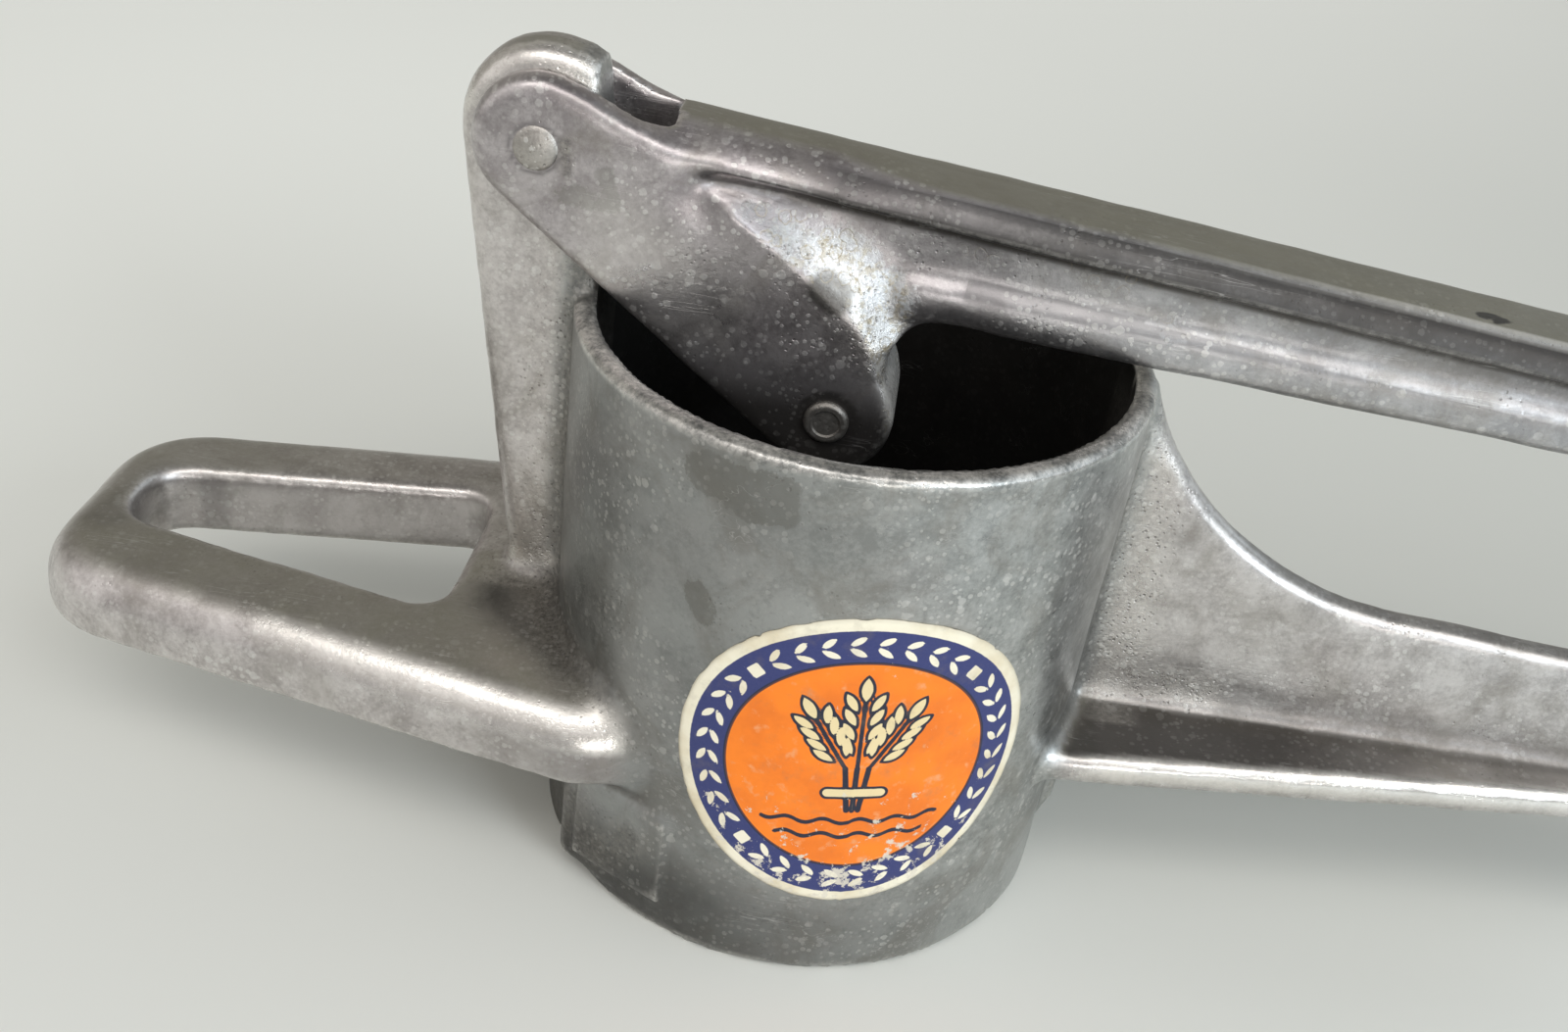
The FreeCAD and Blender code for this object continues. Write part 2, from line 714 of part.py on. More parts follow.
def build_shoulder():
    """The sloping shoulder where the cheeks' faces run down to the panel."""
    body = new_body("lever_shoulder")
    drop, start = cell("arm_angle"), cell("shoulder_run")
    base_x, base_z = along_arm(start, as_size(0))
    section = attached_sketch(body, "ShoulderSection", "YZ_Plane")
    section.AttachmentOffset = FreeCAD.Placement(
        FreeCAD.Vector(0, base_z.value, base_x.value),
        FreeCAD.Rotation(FreeCAD.Vector(1, 0, 0), drop.value))
    bind(section, "AttachmentOffset.Base.y", base_z)
    bind(section, "AttachmentOffset.Base.z", base_x)
    bind(section, "AttachmentOffset.Rotation.Angle", drop)
    wide, thin = cell("cheek_width") / 2, cell("panel_thickness") / 2
    low = cell("cheek_radius") - cell("cheek_edge_round")
    high = cell("cheek_radius") + cell("shoulder_width")
    draw_outline(section, [
        (wide, low / 2), (wide, low), (thin, high), (-thin, high), (-wide, low), (-wide, low / 2)])
    pad(body, "Shoulder", section, cell("arm_length") - start - cell("shoulder_end"))
    return body


def build_lever():
    """The hand lever, with a slot between its cheeks for the post and the stem."""
    blanks = [build_bead(), build_cheeks(), build_shoulder(), build_cap()]
    body = new_body("lever")
    build_panel(body)
    join = body.newObject("PartDesign::Boolean", "Join")
    join.setObjects(blanks)
    join.Type = "Fuse"
    doc.recompute()
    check_feature(join)
    drop_x, clear = PIVOT_X + cell("slot_across"), cell("cheek_radius") * 2
    ring_r = cell("stem_eye_radius") + cell("turning_gap")
    slot = profile(body, "SlotOutline", "XZ_Plane", [
        (drop_x, PIVOT_Z + clear), (drop_x, PIVOT_Z - cell("slot_drop")),
        around_joint(ring_r, cell("arm_angle") * 3.4) + (ring_r, -1),
        around_joint(ring_r, as_size(0)), (JOINT_X + ring_r, JOINT_Z - clear),
        (PIVOT_X - clear, JOINT_Z - clear), (PIVOT_X - clear, PIVOT_Z + clear)])
    pocket(body, "Slot", slot, SLOT_HALF * 2, both_ways=True)
    for name, spot in (("FulcrumHole", (PIVOT_X, PIVOT_Z)), ("StemHole", (JOINT_X, JOINT_Z))):
        hole = attached_sketch(body, name + "Outline", "XZ_Plane")
        draw_circle(hole, spot[0], spot[1], cell("pin_radius") + cell("seat_gap"))
        pocket(body, name, hole, WIDE, both_ways=True)
    return body


# ---- Pins ----

def build_pin(name, half_width, proud, bevel):
    """A pin across the lever, pressed in flush but for its bevelled ends."""
    body = new_body(name)
    shank, end = cell("pin_radius"), half_width + proud
    half = profile(body, "Profile_" + name, "XY_Plane", [
        (0, -end), (shank - bevel, -end), (shank, bevel - end), (shank, end - bevel),
        (shank - bevel, end), (0, end)])
    turn(body, "Turned_" + name, half)
    return body


def build_crosshead_pin():
    """The pin pressed through the stem's foot, which slides in the slots of the plunger's ears."""
    ears = SLOT_HALF + cell("ear_thickness")
    body = build_pin("crosshead_pin", ears, cell("pin_bevel"), cell("pin_bevel"))
    place(body, JOINT_X, FOOT_Z)
    return body


# ---- Stem ----

def build_stem():
    """The flat link between the lever and the plunger, with an eye at each end."""
    body = new_body("stem")
    eye_r, half = cell("stem_eye_radius"), cell("stem_waist") / 2
    shoulder = root_of(eye_r * eye_r - half * half)
    neck_z, ankle_z = JOINT_Z - shoulder, FOOT_Z + shoulder
    sketch = profile(body, "StemOutline", "XZ_Plane", [
        (JOINT_X + half, neck_z, eye_r, 1), (JOINT_X, JOINT_Z + eye_r, eye_r, 1),
        (JOINT_X - half, neck_z), (JOINT_X - half, ankle_z, eye_r, 1),
        (JOINT_X, FOOT_Z - eye_r, eye_r, 1), (JOINT_X + half, ankle_z)])
    pad(body, "StemBlank", sketch, cell("post_thickness"), both_ways=True)
    def neck(edge):
        box = box_of(edge)
        across = box.XLength < 0.01 and box.ZLength < 0.01 and box.YLength > 1
        near = min(abs(box.ZMin - ankle_z.value), abs(box.ZMin - neck_z.value)) < 0.01
        return across and near
    round_edges(body, "StemNecks", cell("stem_neck_round"), neck)
    side = cell("post_thickness").value / 2
    round_edges(body, "StemEdges", cell("stem_edge_round"), lambda e: runs_beside(e, side))
    eye = attached_sketch(body, "StemEyeOutline", "XZ_Plane")
    draw_circle(eye, JOINT_X, JOINT_Z, cell("pin_radius") + cell("running_gap"))
    pocket(body, "StemEye", eye, WIDE, both_ways=True)
    eye = attached_sketch(body, "FootEyeOutline", "XZ_Plane")
    draw_circle(eye, JOINT_X, FOOT_Z, cell("pin_radius") + cell("seat_gap"))
    pocket(body, "FootEye", eye, WIDE, both_ways=True)
    return body


# ---- Plunger ----

def crosshead_travel():
    """How far the crosshead pin strays from its rest place in the plunger while the lever opens."""
    arm, drop = cell("arm_length").value, cell("arm_angle").value
    link, lift = cell("stem_length").value, cell("plunger_rise").value
    sideways, upward = [0.0], [0.0]
    for opened in range(1, OPENING_ANGLE + 1):
        arm_angle = math.radians(opened - drop)
        lean = math.radians(opened * (1 + STEM_TURN_RATIO))
        across = arm * (math.cos(arm_angle) - math.cos(math.radians(drop))) + link * math.sin(lean)
        rise = arm * (math.sin(arm_angle) + math.sin(math.radians(drop))) + link * (1 - math.cos(lean))
        sideways.append(across)
        upward.append(rise - lift * math.radians(opened))
    return min(sideways), max(sideways), min(upward), max(upward)


def build_plunger():
    """The disc that presses the dough, with two ears whose slots hold the crosshead pin."""
    body = new_body("plunger")
    low = cell("floor_thickness") + cell("floor_gap")
    top = low + cell("plunger_thickness")
    radius, edge = cell("bore_radius") - cell("bore_gap"), cell("plunger_edge_round")
    disc = profile(body, "DiscProfile", "XZ_Plane", [
        (0, low), (radius - edge, low, edge, 1), (radius, low + edge), (radius, top - edge, edge, 1),
        (radius - edge, top), (0, top)])
    turn(body, "Disc", disc)
    back, fore, down, up = crosshead_travel()
    room = cell("pin_radius") + cell("slot_gap")
    left, right = JOINT_X + back - room, JOINT_X + fore + room
    floor, roof = FOOT_Z + down - room, FOOT_Z + up + room
    wall = cell("ear_wall")
    ears = profile(body, "EarOutline", "XZ_Plane", [
        (left - wall, low + 1), (right + wall, low + 1), (right + wall, roof + wall),
        (left - wall, roof + wall)])
    outer = SLOT_HALF + cell("ear_thickness")
    pad(body, "EarBlock", ears, outer * 2, both_ways=True)
    ear_top = (roof + wall).value
    round_edges(body, "EarCorners", cell("ear_top_round"),
                lambda e: level_at(e, ear_top) and box_of(e).XLength < 0.01)
    gap = profile(body, "EarGapOutline", "XZ_Plane", [
        (left - wall - 1, top), (right + wall + 1, top), (right + wall + 1, roof + wall + 1),
        (left - wall - 1, roof + wall + 1)])
    pocket(body, "EarGap", gap, SLOT_HALF * 2, both_ways=True)
    slot = profile(body, "SlotOutlineEars", "XZ_Plane", [
        (left, floor), (right, floor), (right, roof), (left, roof)])
    pocket(body, "EarSlots", slot, WIDE, both_ways=True)
    low_z, high_z = floor.value - 0.01, roof.value + 0.01

    def slot_corner(edge):
        box = box_of(edge)
        inside = low_z < box.ZMin and box.ZMax < high_z
        return inside and box.YLength > 1 and box.XLength < 0.01 and box.ZLength < 0.01
    round_edges(body, "SlotCorners", cell("pin_radius"), slot_corner)
    return body


# ---- Label ----

def draw_wrapped_circle(sketch, middle, reach, wall):
    """The front view of a paper circle that is wrapped round the wall: an upright ellipse."""
    turned = reach / wall * 180 / math.pi
    narrow = wall * sine(turned)
    centre = FreeCAD.Vector(0, middle.value, 0)
    top, side = centre + FreeCAD.Vector(0, reach.value, 0), centre + FreeCAD.Vector(narrow.value, 0, 0)
    oval = sketch.addGeometry(Part.Ellipse(top, side, centre), False)
    sketch.exposeInternalGeometry(oval)
    for kind, size in (("DistanceX", as_size(0)), ("DistanceY", middle)):
        rule = sketch.addConstraint(Sketcher.Constraint(kind, -1, 1, oval, 3, size.value))
        bind(sketch, "Constraints[%d]" % rule, size)
    sketch.addConstraint(Sketcher.Constraint("Vertical", oval + 1))
    for axis, size in ((oval + 1, reach * 2), (oval + 2, narrow * 2)):
        rule = sketch.addConstraint(Sketcher.Constraint("Distance", axis, size.value))
        bind(sketch, "Constraints[%d]" % rule, size)


def build_label():
    """The round paper label, wrapped on the front of the pot."""
    body = new_body("round_label")
    foot, rim = POT_FOOT, POT_RIM
    low_z = cell("foot_round")
    run = cell("pot_height") - cell("rim_round") - low_z
    middle, reach = cell("label_height"), cell("label_radius")

    def wall(height):
        return foot + (rim - foot) * (height - low_z) / run + cell("paper_gap")
    bottom, top = middle - reach - 1, middle + reach + 1
    thick = cell("label_thickness")
    band = profile(body, "BandProfile", "XZ_Plane", [
        (wall(bottom), bottom), (wall(bottom) + thick, bottom), (wall(top) + thick, top),
        (wall(top), top)])
    turn(body, "Band", band, 110, both_ways=True)
    cutter = attached_sketch(body, "RoundOutline", "YZ_Plane")
    far = cell("pot_height") + 20
    draw_outline(cutter, [(-far, -far), (far, -far), (far, far * 2), (-far, far * 2)])
    draw_wrapped_circle(cutter, middle, reach, foot + (rim - foot) * (middle - low_z) / run)
    pocket(body, "RoundCut", cutter, cell("pot_height") + 20, reverse=True)
    body.Placement = FreeCAD.Placement(
        FreeCAD.Vector(0, 0, 0), FreeCAD.Rotation(FreeCAD.Vector(0, 0, -1), 90 - cell("label_angle").value))
    bind(body, "Placement.Rotation.Angle", as_size(90) - cell("label_angle"))
    return body


# ---- Gathering and writing ----

cheek_half = cell("cheek_width") / 2
fulcrum_pin = build_pin("fulcrum_pin", cheek_half, cell("fulcrum_proud"), cell("fulcrum_proud"))
place(fulcrum_pin, PIVOT_X, PIVOT_Z)
stem_pin = build_pin("stem_pin", cheek_half, cell("stem_pin_proud"), cell("stem_pin_proud"))
place(stem_pin, JOINT_X, JOINT_Z)
bodies = [build_body_casting(), build_lever(), fulcrum_pin, stem_pin, build_stem(),
          build_crosshead_pin(), build_plunger(), build_label()]
doc.recompute()

for thing in doc.Objects:
    if "Invalid" in thing.State or "Error" in thing.State:
        raise RuntimeError("%s has failed: %s" % (thing.Name, thing.State))
for body in bodies:
    if body.Shape.isNull() or not body.Shape.isValid():
        raise RuntimeError("%s has no valid shape" % body.Label)
os.makedirs("parts", exist_ok=True)
for body in bodies:
    print(body.Label, len(body.Shape.Solids), round(body.Shape.Volume / 1000, 2), "cm3")
    body.Shape.exportStep("parts/%s.step" % body.Label)
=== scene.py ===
import math

import bmesh
import bpy
import numpy as np
from mathutils import Matrix, Vector, noise


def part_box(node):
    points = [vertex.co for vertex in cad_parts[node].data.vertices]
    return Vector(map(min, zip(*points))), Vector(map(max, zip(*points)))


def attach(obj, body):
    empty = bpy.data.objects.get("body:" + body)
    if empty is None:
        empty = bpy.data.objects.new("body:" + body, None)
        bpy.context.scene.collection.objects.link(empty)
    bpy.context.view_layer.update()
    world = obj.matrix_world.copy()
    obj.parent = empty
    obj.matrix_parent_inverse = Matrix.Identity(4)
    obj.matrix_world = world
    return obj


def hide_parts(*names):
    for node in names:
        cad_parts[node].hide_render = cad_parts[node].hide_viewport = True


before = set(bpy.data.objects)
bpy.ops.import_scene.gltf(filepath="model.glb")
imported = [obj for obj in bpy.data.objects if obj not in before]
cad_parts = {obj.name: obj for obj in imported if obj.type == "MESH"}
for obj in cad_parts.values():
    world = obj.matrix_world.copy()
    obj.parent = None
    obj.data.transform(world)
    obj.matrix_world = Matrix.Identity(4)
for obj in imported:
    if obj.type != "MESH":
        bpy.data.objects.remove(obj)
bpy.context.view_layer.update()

MM = 0.001


# ---- Body casting ----
# Pot, loop handle, pivot post and T-shaped handle are one sand casting in aluminium. Its bore and rim
# are turned, its drain holes are drilled, and the rest is as it came from the sand, worn by hands.
BORE_RADIUS = 37.7 * MM
POT_HEIGHT = 85.7 * MM
FLOOR_THICKNESS = 5.5 * MM
FOOT_RADIUS = 39.8 * MM
RIM_RADIUS = 40.7 * MM
DRAIN_PITCH = 7.0 * MM
DRAIN_RADIUS = 1.6 * MM
DRAIN_RINGS = 5
DRILL_DEPTH = 12.5 * MM
WEAR_DEPTH = 0.5 * MM
CASTING_GRAIN = 0.86 * MM
CASTING_FACES = 182000
ROOT_ROUNDS = 30
NEARLY = 0.01 * MM
WALL_ARC, STUB_HEIGHT, LUMP_HEIGHT = 40, 0.9, 0.13  # in millimetres, as the marks are


class Wire:
    """A socket in a node tree. Arithmetic on it adds Math nodes."""

    def __init__(self, tree, socket=None):
        self.tree = tree
        self.socket = socket

    def node(self, kind, settings=None, sockets=None, output=0):
        """A new node: its settings are set first, then its sockets get values or links."""
        made = self.tree.nodes.new(kind)
        for name, value in (settings or {}).items():
            setattr(made, name, value)
        for name, value in (sockets or {}).items():
            if isinstance(value, Wire):
                self.tree.links.new(value.socket, made.inputs[name])
            else:
                made.inputs[name].default_value = value
        return Wire(self.tree, made.outputs[output]) if made.outputs else None

    def maths(self, operation, *values):
        return self.node("ShaderNodeMath", {"operation": operation}, dict(enumerate(values)))

    def __add__(self, other):
        return self.maths("ADD", self, other)

    def __radd__(self, other):
        return self.maths("ADD", other, self)

    def __sub__(self, other):
        return self.maths("SUBTRACT", self, other)

    def __rsub__(self, other):
        return self.maths("SUBTRACT", other, self)

    def __mul__(self, other):
        return self.maths("MULTIPLY", self, other)

    def __rmul__(self, other):
        return self.maths("MULTIPLY", other, self)

    def __truediv__(self, other):
        return self.maths("DIVIDE", self, other)


def between(value, low, high):
    """0 below low, 1 above high, and smooth in between."""
    return value.node("ShaderNodeMapRange", {"interpolation_type": "SMOOTHSTEP"},
                      {"Value": value, "From Min": low, "From Max": high})


def blended(first, second, share):
    """One colour turning into another."""
    return share.node("ShaderNodeMix", {"data_type": "RGBA"}, {0: share, 6: first, 7: second}, 2)


def cloudy(spot, scale, detail=4.0, rough=0.55, bend=0.0):
    """A soft mottle with about this many clouds to a unit of spot."""
    return spot.node("ShaderNodeTexNoise", {},
                     {"Vector": spot, "Scale": scale, "Detail": detail, "Roughness": rough,
                      "Distortion": bend})


def scaled(spot, x, y, z):
    return spot.node("ShaderNodeVectorMath", {"operation": "MULTIPLY"}, {0: spot, 1: (x, y, z)})


def shifted(spot, x, y, z):
    return spot.node("ShaderNodeVectorMath", {"operation": "ADD"}, {0: spot, 1: (x, y, z)})


def cells(spot, scale, output=0):
    """Distance to scattered points, or with output 1 a colour of its own for each point's cell."""
    return spot.node("ShaderNodeTexVoronoi", {}, {"Vector": spot, "Scale": scale}, output)


def share_of(name, start):
    """How much of a mark each place carries, from the mesh."""
    return start.node("ShaderNodeAttribute", {"attribute_name": name}, {}, "Fac")


def capped(value):
    return value.maths("MINIMUM", value, 1.0)


def aged_aluminium(name, cool, warm, gloss, seed):
    """Old cast aluminium. cool and warm each give the pale and the deep tone of a kind of surface, and
    gloss is how rough it is at its smoothest. The mesh says what is warm, rubbed, dirty or marked,
    and where shade and highlights are painted."""
    made = bpy.data.materials.new(name)
    made.use_nodes = True
    made.node_tree.nodes.clear()
    start = Wire(made.node_tree)
    spot = start.node("ShaderNodeTexCoord", {}, {}, "Object")
    spot = shifted(scaled(spot, 1000, 1000, 1000), seed, seed * 2, -seed)
    rub, hollow, soot_and_shade, stain, etched, coarse, dust, polish_and_highlight = [
        share_of(mark, start)
        for mark in ("rub", "hollow", "soot_and_shade", "stain", "etched", "coarse", "dust", "polish_and_highlight")]

    broad = cloudy(spot, 0.07, 4)
    mottle = cloudy(shifted(spot, 40, 0, 9), 0.22, 8, 0.66, 0.4)
    grain = cloudy(shifted(spot, 3, 8, 1), 1.4, 6, 0.7)
    tone = between(broad * 0.30 + mottle * 0.42 + grain * 0.28, 0.38, 0.61)
    tinted = between(cloudy(shifted(spot, 5, 50, 20), 0.04, 4), 0.50, 0.72)
    tint = capped(share_of("warm", start) + tinted * 0.25)
    colour = blended(blended(cool[1], cool[0], tone), blended(warm[1], warm[0], tone), tint)

    # pale spots of oxide: a few large ones and many small ones, gathered in drifts
    drift = between(cloudy(shifted(spot, 7, 70, 3), 0.07, 4), 0.36, 0.62) * 0.8 + coarse * 0.6 + 0.12
    ragged = (cloudy(spot, 2.2, 3) - 0.5) * 0.22
    chance = start.node("ShaderNodeSeparateColor", {}, {"Color": cells(spot, 0.42, 1)})
    large = between(cells(spot, 0.42) + ragged - chance * 0.24, 0.08, 0.03)
    dots = shifted(spot, 3.3, 1.7, 5.1)
    some = start.node("ShaderNodeSeparateColor", {}, {"Color": cells(dots, 0.95, 1)})
    small = between(cells(dots, 0.95) + ragged - some * 0.34, 0.12, 0.03)
    specks = capped((large * 0.75 + small * 0.8) * drift)
    colour = blended(colour, (0.78, 0.77, 0.74, 1), specks * 0.60)

    # stains with a drawn edge, a thin brown film in places, and dull dust on what faces up
    film = between(cloudy(shifted(spot, 90, 20, 50), 0.07, 8, 0.66, 0.8), 0.46, 0.66)
    colour = blended(colour, (0.235, 0.215, 0.18, 1), film * 0.42)
    drawn = between(stain + (mottle - 0.5) * 1.7 + (grain - 0.5) * 0.9, 0.50, 0.64) \
        * capped(stain * 1.6) * 0.75
    colour = blended(colour, (0.165, 0.16, 0.135, 1), drawn * (grain * 0.4 + 0.45))
    dusty = capped(dust * (mottle * 0.9 + 0.45))
    colour = blended(colour, (0.215, 0.205, 0.155, 1), dusty * 0.85)

    # pits, rings left by drops, and fine scratches
    pitted = between(cloudy(spot, 0.11, 4), 0.50, 0.66) * 0.6 + coarse
    pits = between(cells(shifted(spot, 9, 4, 2), 1.10) + ragged, 0.26, 0.10) * capped(pitted)
    rough_sand = cloudy(shifted(spot, 2, 6, 1), 1.6, 4, 0.75) * coarse
    drop = cells(shifted(spot, 31, 12, 44), 0.33) + (cloudy(spot, 0.9, 4) - 0.5) * 0.35
    drops = between(drop, 0.24, 0.28) * between(drop, 0.34, 0.30) * between(etched, 0.12, 0.5)
    streak = cloudy(scaled(spot, 0.04, 1.0, 0.7), 0.8, 2)
    scratches = between(start.maths("ABSOLUTE", streak - 0.5), 0.008, 0.002) \
        * between(cloudy(spot, 0.09, 2), 0.50, 0.64)

    # metal that dough has bitten, then soot and painted shade, dirt, coarse sand, rubbed edges and
    # painted highlights, and crusts of dough
    bitten = between(etched + (mottle - 0.5) * 1.5 + (grain - 0.5) * 1.1, 0.30, 0.95)
    colour = blended(colour, (0.63, 0.67, 0.69, 1), bitten * (grain * 0.8 + 0.16))
    # near black for real soot and for painted shade in the bore, in creases and under parts
    black = between(soot_and_shade + (mottle - 0.5) * 0.45 + (grain - 0.5) * 0.25, 0.10, 0.98)
    colour = blended(colour, (0.035, 0.032, 0.029, 1), black * 0.94)
    dirt = capped(between(hollow, 0.20, 1.3) * (mottle * 0.9 + 0.30)) * (1 - coarse * 0.6)
    colour = blended(colour, (0.58, 0.55, 0.49, 1), capped(coarse * (grain * 2.2 - 0.75)) * 0.62)
    colour = blended(colour, (0.060, 0.052, 0.042, 1), capped(dirt * 0.70 + pits * 0.40))
    colour = blended(colour, (0.55, 0.54, 0.51, 1), specks * soot_and_shade * between(soot_and_shade, 0.99, 0.90) * 0.16)
    # pale rubbed metal: real wear on bulging edges, and painted highlights where the polish mask is set
    wear_and_highlight = capped(between(rub, 0.40, 1.4) * between(mottle * 0.6 + grain * 0.6, 0.42, 0.78)
                  + polish_and_highlight * (grain * 0.5 + 0.60))
    colour = blended(colour, (0.86, 0.83, 0.78, 1), wear_and_highlight * 0.80)
    crust = between(cloudy(shifted(spot, 8, 3, 60), 0.50, 7, 0.75), 0.50, 0.56) \
        * capped(coarse * 3) * bitten * capped(1.2 - soot_and_shade)
    colour = blended(colour, (0.36, 0.31, 0.22, 1), crust * 0.70 + drops * 0.45)
    colour = blended(colour, (0.74, 0.73, 0.71, 1), scratches * 0.22)

    dull = capped(specks * 0.30 + drawn * 0.35 + dirt * 0.6 + black * 0.5 + film * 0.2 + dusty * 0.55)
    rough = gloss + mottle * 0.14 + grain * 0.08 + dull * 0.18 - wear_and_highlight * 0.13 - bitten * 0.08
    height = mottle * 0.07 + grain * 0.04 + specks * 0.025 + rough_sand * 0.16 \
        - pits * 0.10 - drops * 0.03 - scratches * 0.010 + bitten * cloudy(spot, 0.8, 5) * 0.10
    skin = start.node("ShaderNodeBump", {}, {"Height": height, "Distance": 0.001, "Strength": 0.7})
    surface = start.node("ShaderNodeBsdfPrincipled", {}, {
        "Base Color": colour, "Metallic": 0.93 - dull * 0.45 - bitten * 0.35, "Roughness": rough,
        "Normal": skin})
    start.node("ShaderNodeOutputMaterial", {}, {"Surface": surface})
    return made


def welded(node, name):
    """A welded copy of a CAD node's mesh as an object of its own."""
    shell = bmesh.new()
    shell.from_mesh(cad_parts[node].data)
    bmesh.ops.remove_doubles(shell, verts=shell.verts, dist=2e-6)
    mesh = bpy.data.meshes.new(name)
    shell.to_mesh(mesh)
    shell.free()
    made = bpy.data.objects.new(name, mesh)
    bpy.context.scene.collection.objects.link(made)
    return made


def plugged(piece, is_machined):
    """Takes the faces of machined holes off a piece and closes its skin over them. is_machined(corners)
    says whether a face with these corners belongs to such a hole."""
    shell = bmesh.new()
    shell.from_mesh(piece.data)
    gone = [face for face in shell.faces if is_machined([corner.co for corner in face.verts])]
    bmesh.ops.delete(shell, geom=gone, context="FACES")
    open_edges = [edge for edge in shell.edges if edge.is_boundary]
    bmesh.ops.holes_fill(shell, edges=open_edges, sides=0)
    shell.to_mesh(piece.data)
    shell.free()


def coated(piece, finish):
    """Gives a piece one finish all over."""
    piece.data.materials.clear()
    piece.data.materials.append(finish)


def finished(piece):
    """Turns a piece's modifiers into plain mesh."""
    seen = piece.evaluated_get(bpy.context.evaluated_depsgraph_get())
    mesh = bpy.data.meshes.new_from_object(seen)
    piece.modifiers.clear()
    piece.data = mesh
    return piece


def sand_cast(piece, grain, rounds, firm, flow, trued, marks, most_faces, lean=0.0):
    """Gives a piece the even skin and rounded corners of a sand casting. firm(places) is 1 where the
    shape stays sharp, flow(places) is 1 in a root with a broad fillet, trued(places) puts turned
    surfaces back where they belong, and marks(places, facing) names what time has left on it and where
    shade and highlights are painted. lean is the slope of the piece's long edges, which the voxels
    follow."""
    piece.data.transform(Matrix.Rotation(-lean, 4, "Y"))
    skin = piece.modifiers.new("Skin", "REMESH")
    skin.mode = "VOXEL"
    skin.voxel_size = grain
    mesh = finished(piece).data
    mesh.transform(Matrix.Rotation(lean, 4, "Y"))
    count = len(mesh.vertices)
    places = np.empty(count * 3)
    mesh.vertices.foreach_get("co", places)
    places = places.reshape(-1, 3)
    ends = np.empty(len(mesh.edges) * 2, int)
    mesh.edges.foreach_get("vertices", ends)
    first, second = ends[::2], ends[1::2]
    links = (np.bincount(first, minlength=count) + np.bincount(second, minlength=count))[:, None]

    def averaged(points):
        sums = [np.bincount(first, points[second, axis], count)
                + np.bincount(second, points[first, axis], count) for axis in range(3)]
        return np.stack(sums, 1) / links

    loose = 1 - firm(places)[:, None]
    for _ in range(rounds):
        places += 0.5 * loose * (averaged(places) - places)
    broad = flow(places)[:, None]
    for _ in range(ROOT_ROUNDS):
        places += 0.5 * broad * (averaged(places) - places)
    places = trued(places)
    mesh.vertices.foreach_set("co", places.ravel())
    mesh.update()
    facing = np.empty(count * 3)
    mesh.vertices.foreach_get("normal", facing)
    facing = facing.reshape(-1, 3)
    bulge = {}
    for name, passes in (("rub", 9), ("hollow", 26)):
        soft = places
        for _ in range(passes):
            soft = averaged(soft)
        bulge[name] = ((places - soft) * facing).sum(1) / WEAR_DEPTH
    lumps = np.array([noise.noise(Vector(p) * 70) + 0.5 * noise.noise(Vector(p) * 190)
                      for p in places])
    places += facing * (lumps * loose[:, 0] * LUMP_HEIGHT * MM)[:, None]
    mesh.vertices.foreach_set("co", places.ravel())
    held = {"rub": bulge["rub"], "hollow": -bulge["hollow"]} | marks(places / MM, facing)
    for name, values in held.items():
        mark = mesh.attributes.new(name, "FLOAT", "POINT")
        mark.data.foreach_set("value", np.clip(values, 0, 2).astype(np.float32))
    mesh.update()
    mesh.polygons.foreach_set("use_smooth", np.ones(len(mesh.polygons), bool))
    triangles = sum(len(face.vertices) - 2 for face in mesh.polygons)
    if triangles > most_faces:
        thin = piece.modifiers.new("Thin", "DECIMATE")
        thin.ratio = most_faces / triangles
        finished(piece)


def casting_firm(places):
    """The turned bore and rim keep their shape, and so do the cut face of the post's head and the
    parting edge under the loop."""
    x, y, z = places.T / MM
    wide = np.hypot(x, y)
    inside = (wide < 38.5) & (z > 4)
    rim = (z > 83.2) & (wide < 41.3)
    root = (x > 34) & (np.abs(y) < 5) | (x < -34) & (np.abs(y) < 7.5)
    head = np.where((x < -37) & (z > 100), np.clip((x + 44) / 2.5, 0, 0.97), 0)
    parting = (z < 27) & (x < -44) & (z > 20)
    firm = np.where(inside, 0.92, np.where(rim & ~root, 0.85, 0.0))
    return np.maximum(head, np.where(parting, 0.6, firm))


def flange_top(x):
    """Height of the lower handle's flange along it, in millimetres."""
    return 31.1 + (x - 40) * 0.041


def near(x, y, marks):
    """How much of a mark each place carries, from strokes that are given as x0, y0, x1, y1 and a
    radius: 1 up to half the radius from a stroke, and 0 from one and a half times the radius."""
    share = np.zeros(x.shape)
    for x0, y0, x1, y1, radius in marks:
        run = ((x - x0) * (x1 - x0) + (y - y0) * (y1 - y0)) / max((x1 - x0) ** 2 + (y1 - y0) ** 2, 1e-6)
        run = np.clip(run, 0, 1)
        far = np.hypot(x - x0 - run * (x1 - x0), y - y0 - run * (y1 - y0))
        share = np.maximum(share, np.clip(1.5 - far / radius, 0, 1))
    return share


def casting_flow(places):
    """Broad fillets where the loop, the post and the handle grow out of the pot, and under the web."""
    x, y, z = places.T / MM
    wide = np.hypot(x, y)
    pot_root = np.clip((47 - wide) / 3, 0, 1) * (wide > 39) * np.clip((81 - z) / 4, 0, 1) * (z > 16)
    web_root = (x > 42) * (np.abs(y) < 8) * (z > flange_top(x) - 1) \
        * np.clip((flange_top(x) + 5 - z) / 2, 0, 1)
    post_foot = (x < -39) * (x > -56) * (np.abs(y) < 9) * np.clip((44 - z) / 3, 0, 1) * (z > 35)
    arm_end = near(x, y, [(-29, -33.5, -21, -35, 5)]) * (z > 27) * (z < 41)
    return np.clip(pot_root * 0.3 + web_root * 0.6 + post_foot * 0.8 + arm_end * 0.8, 0, 1)


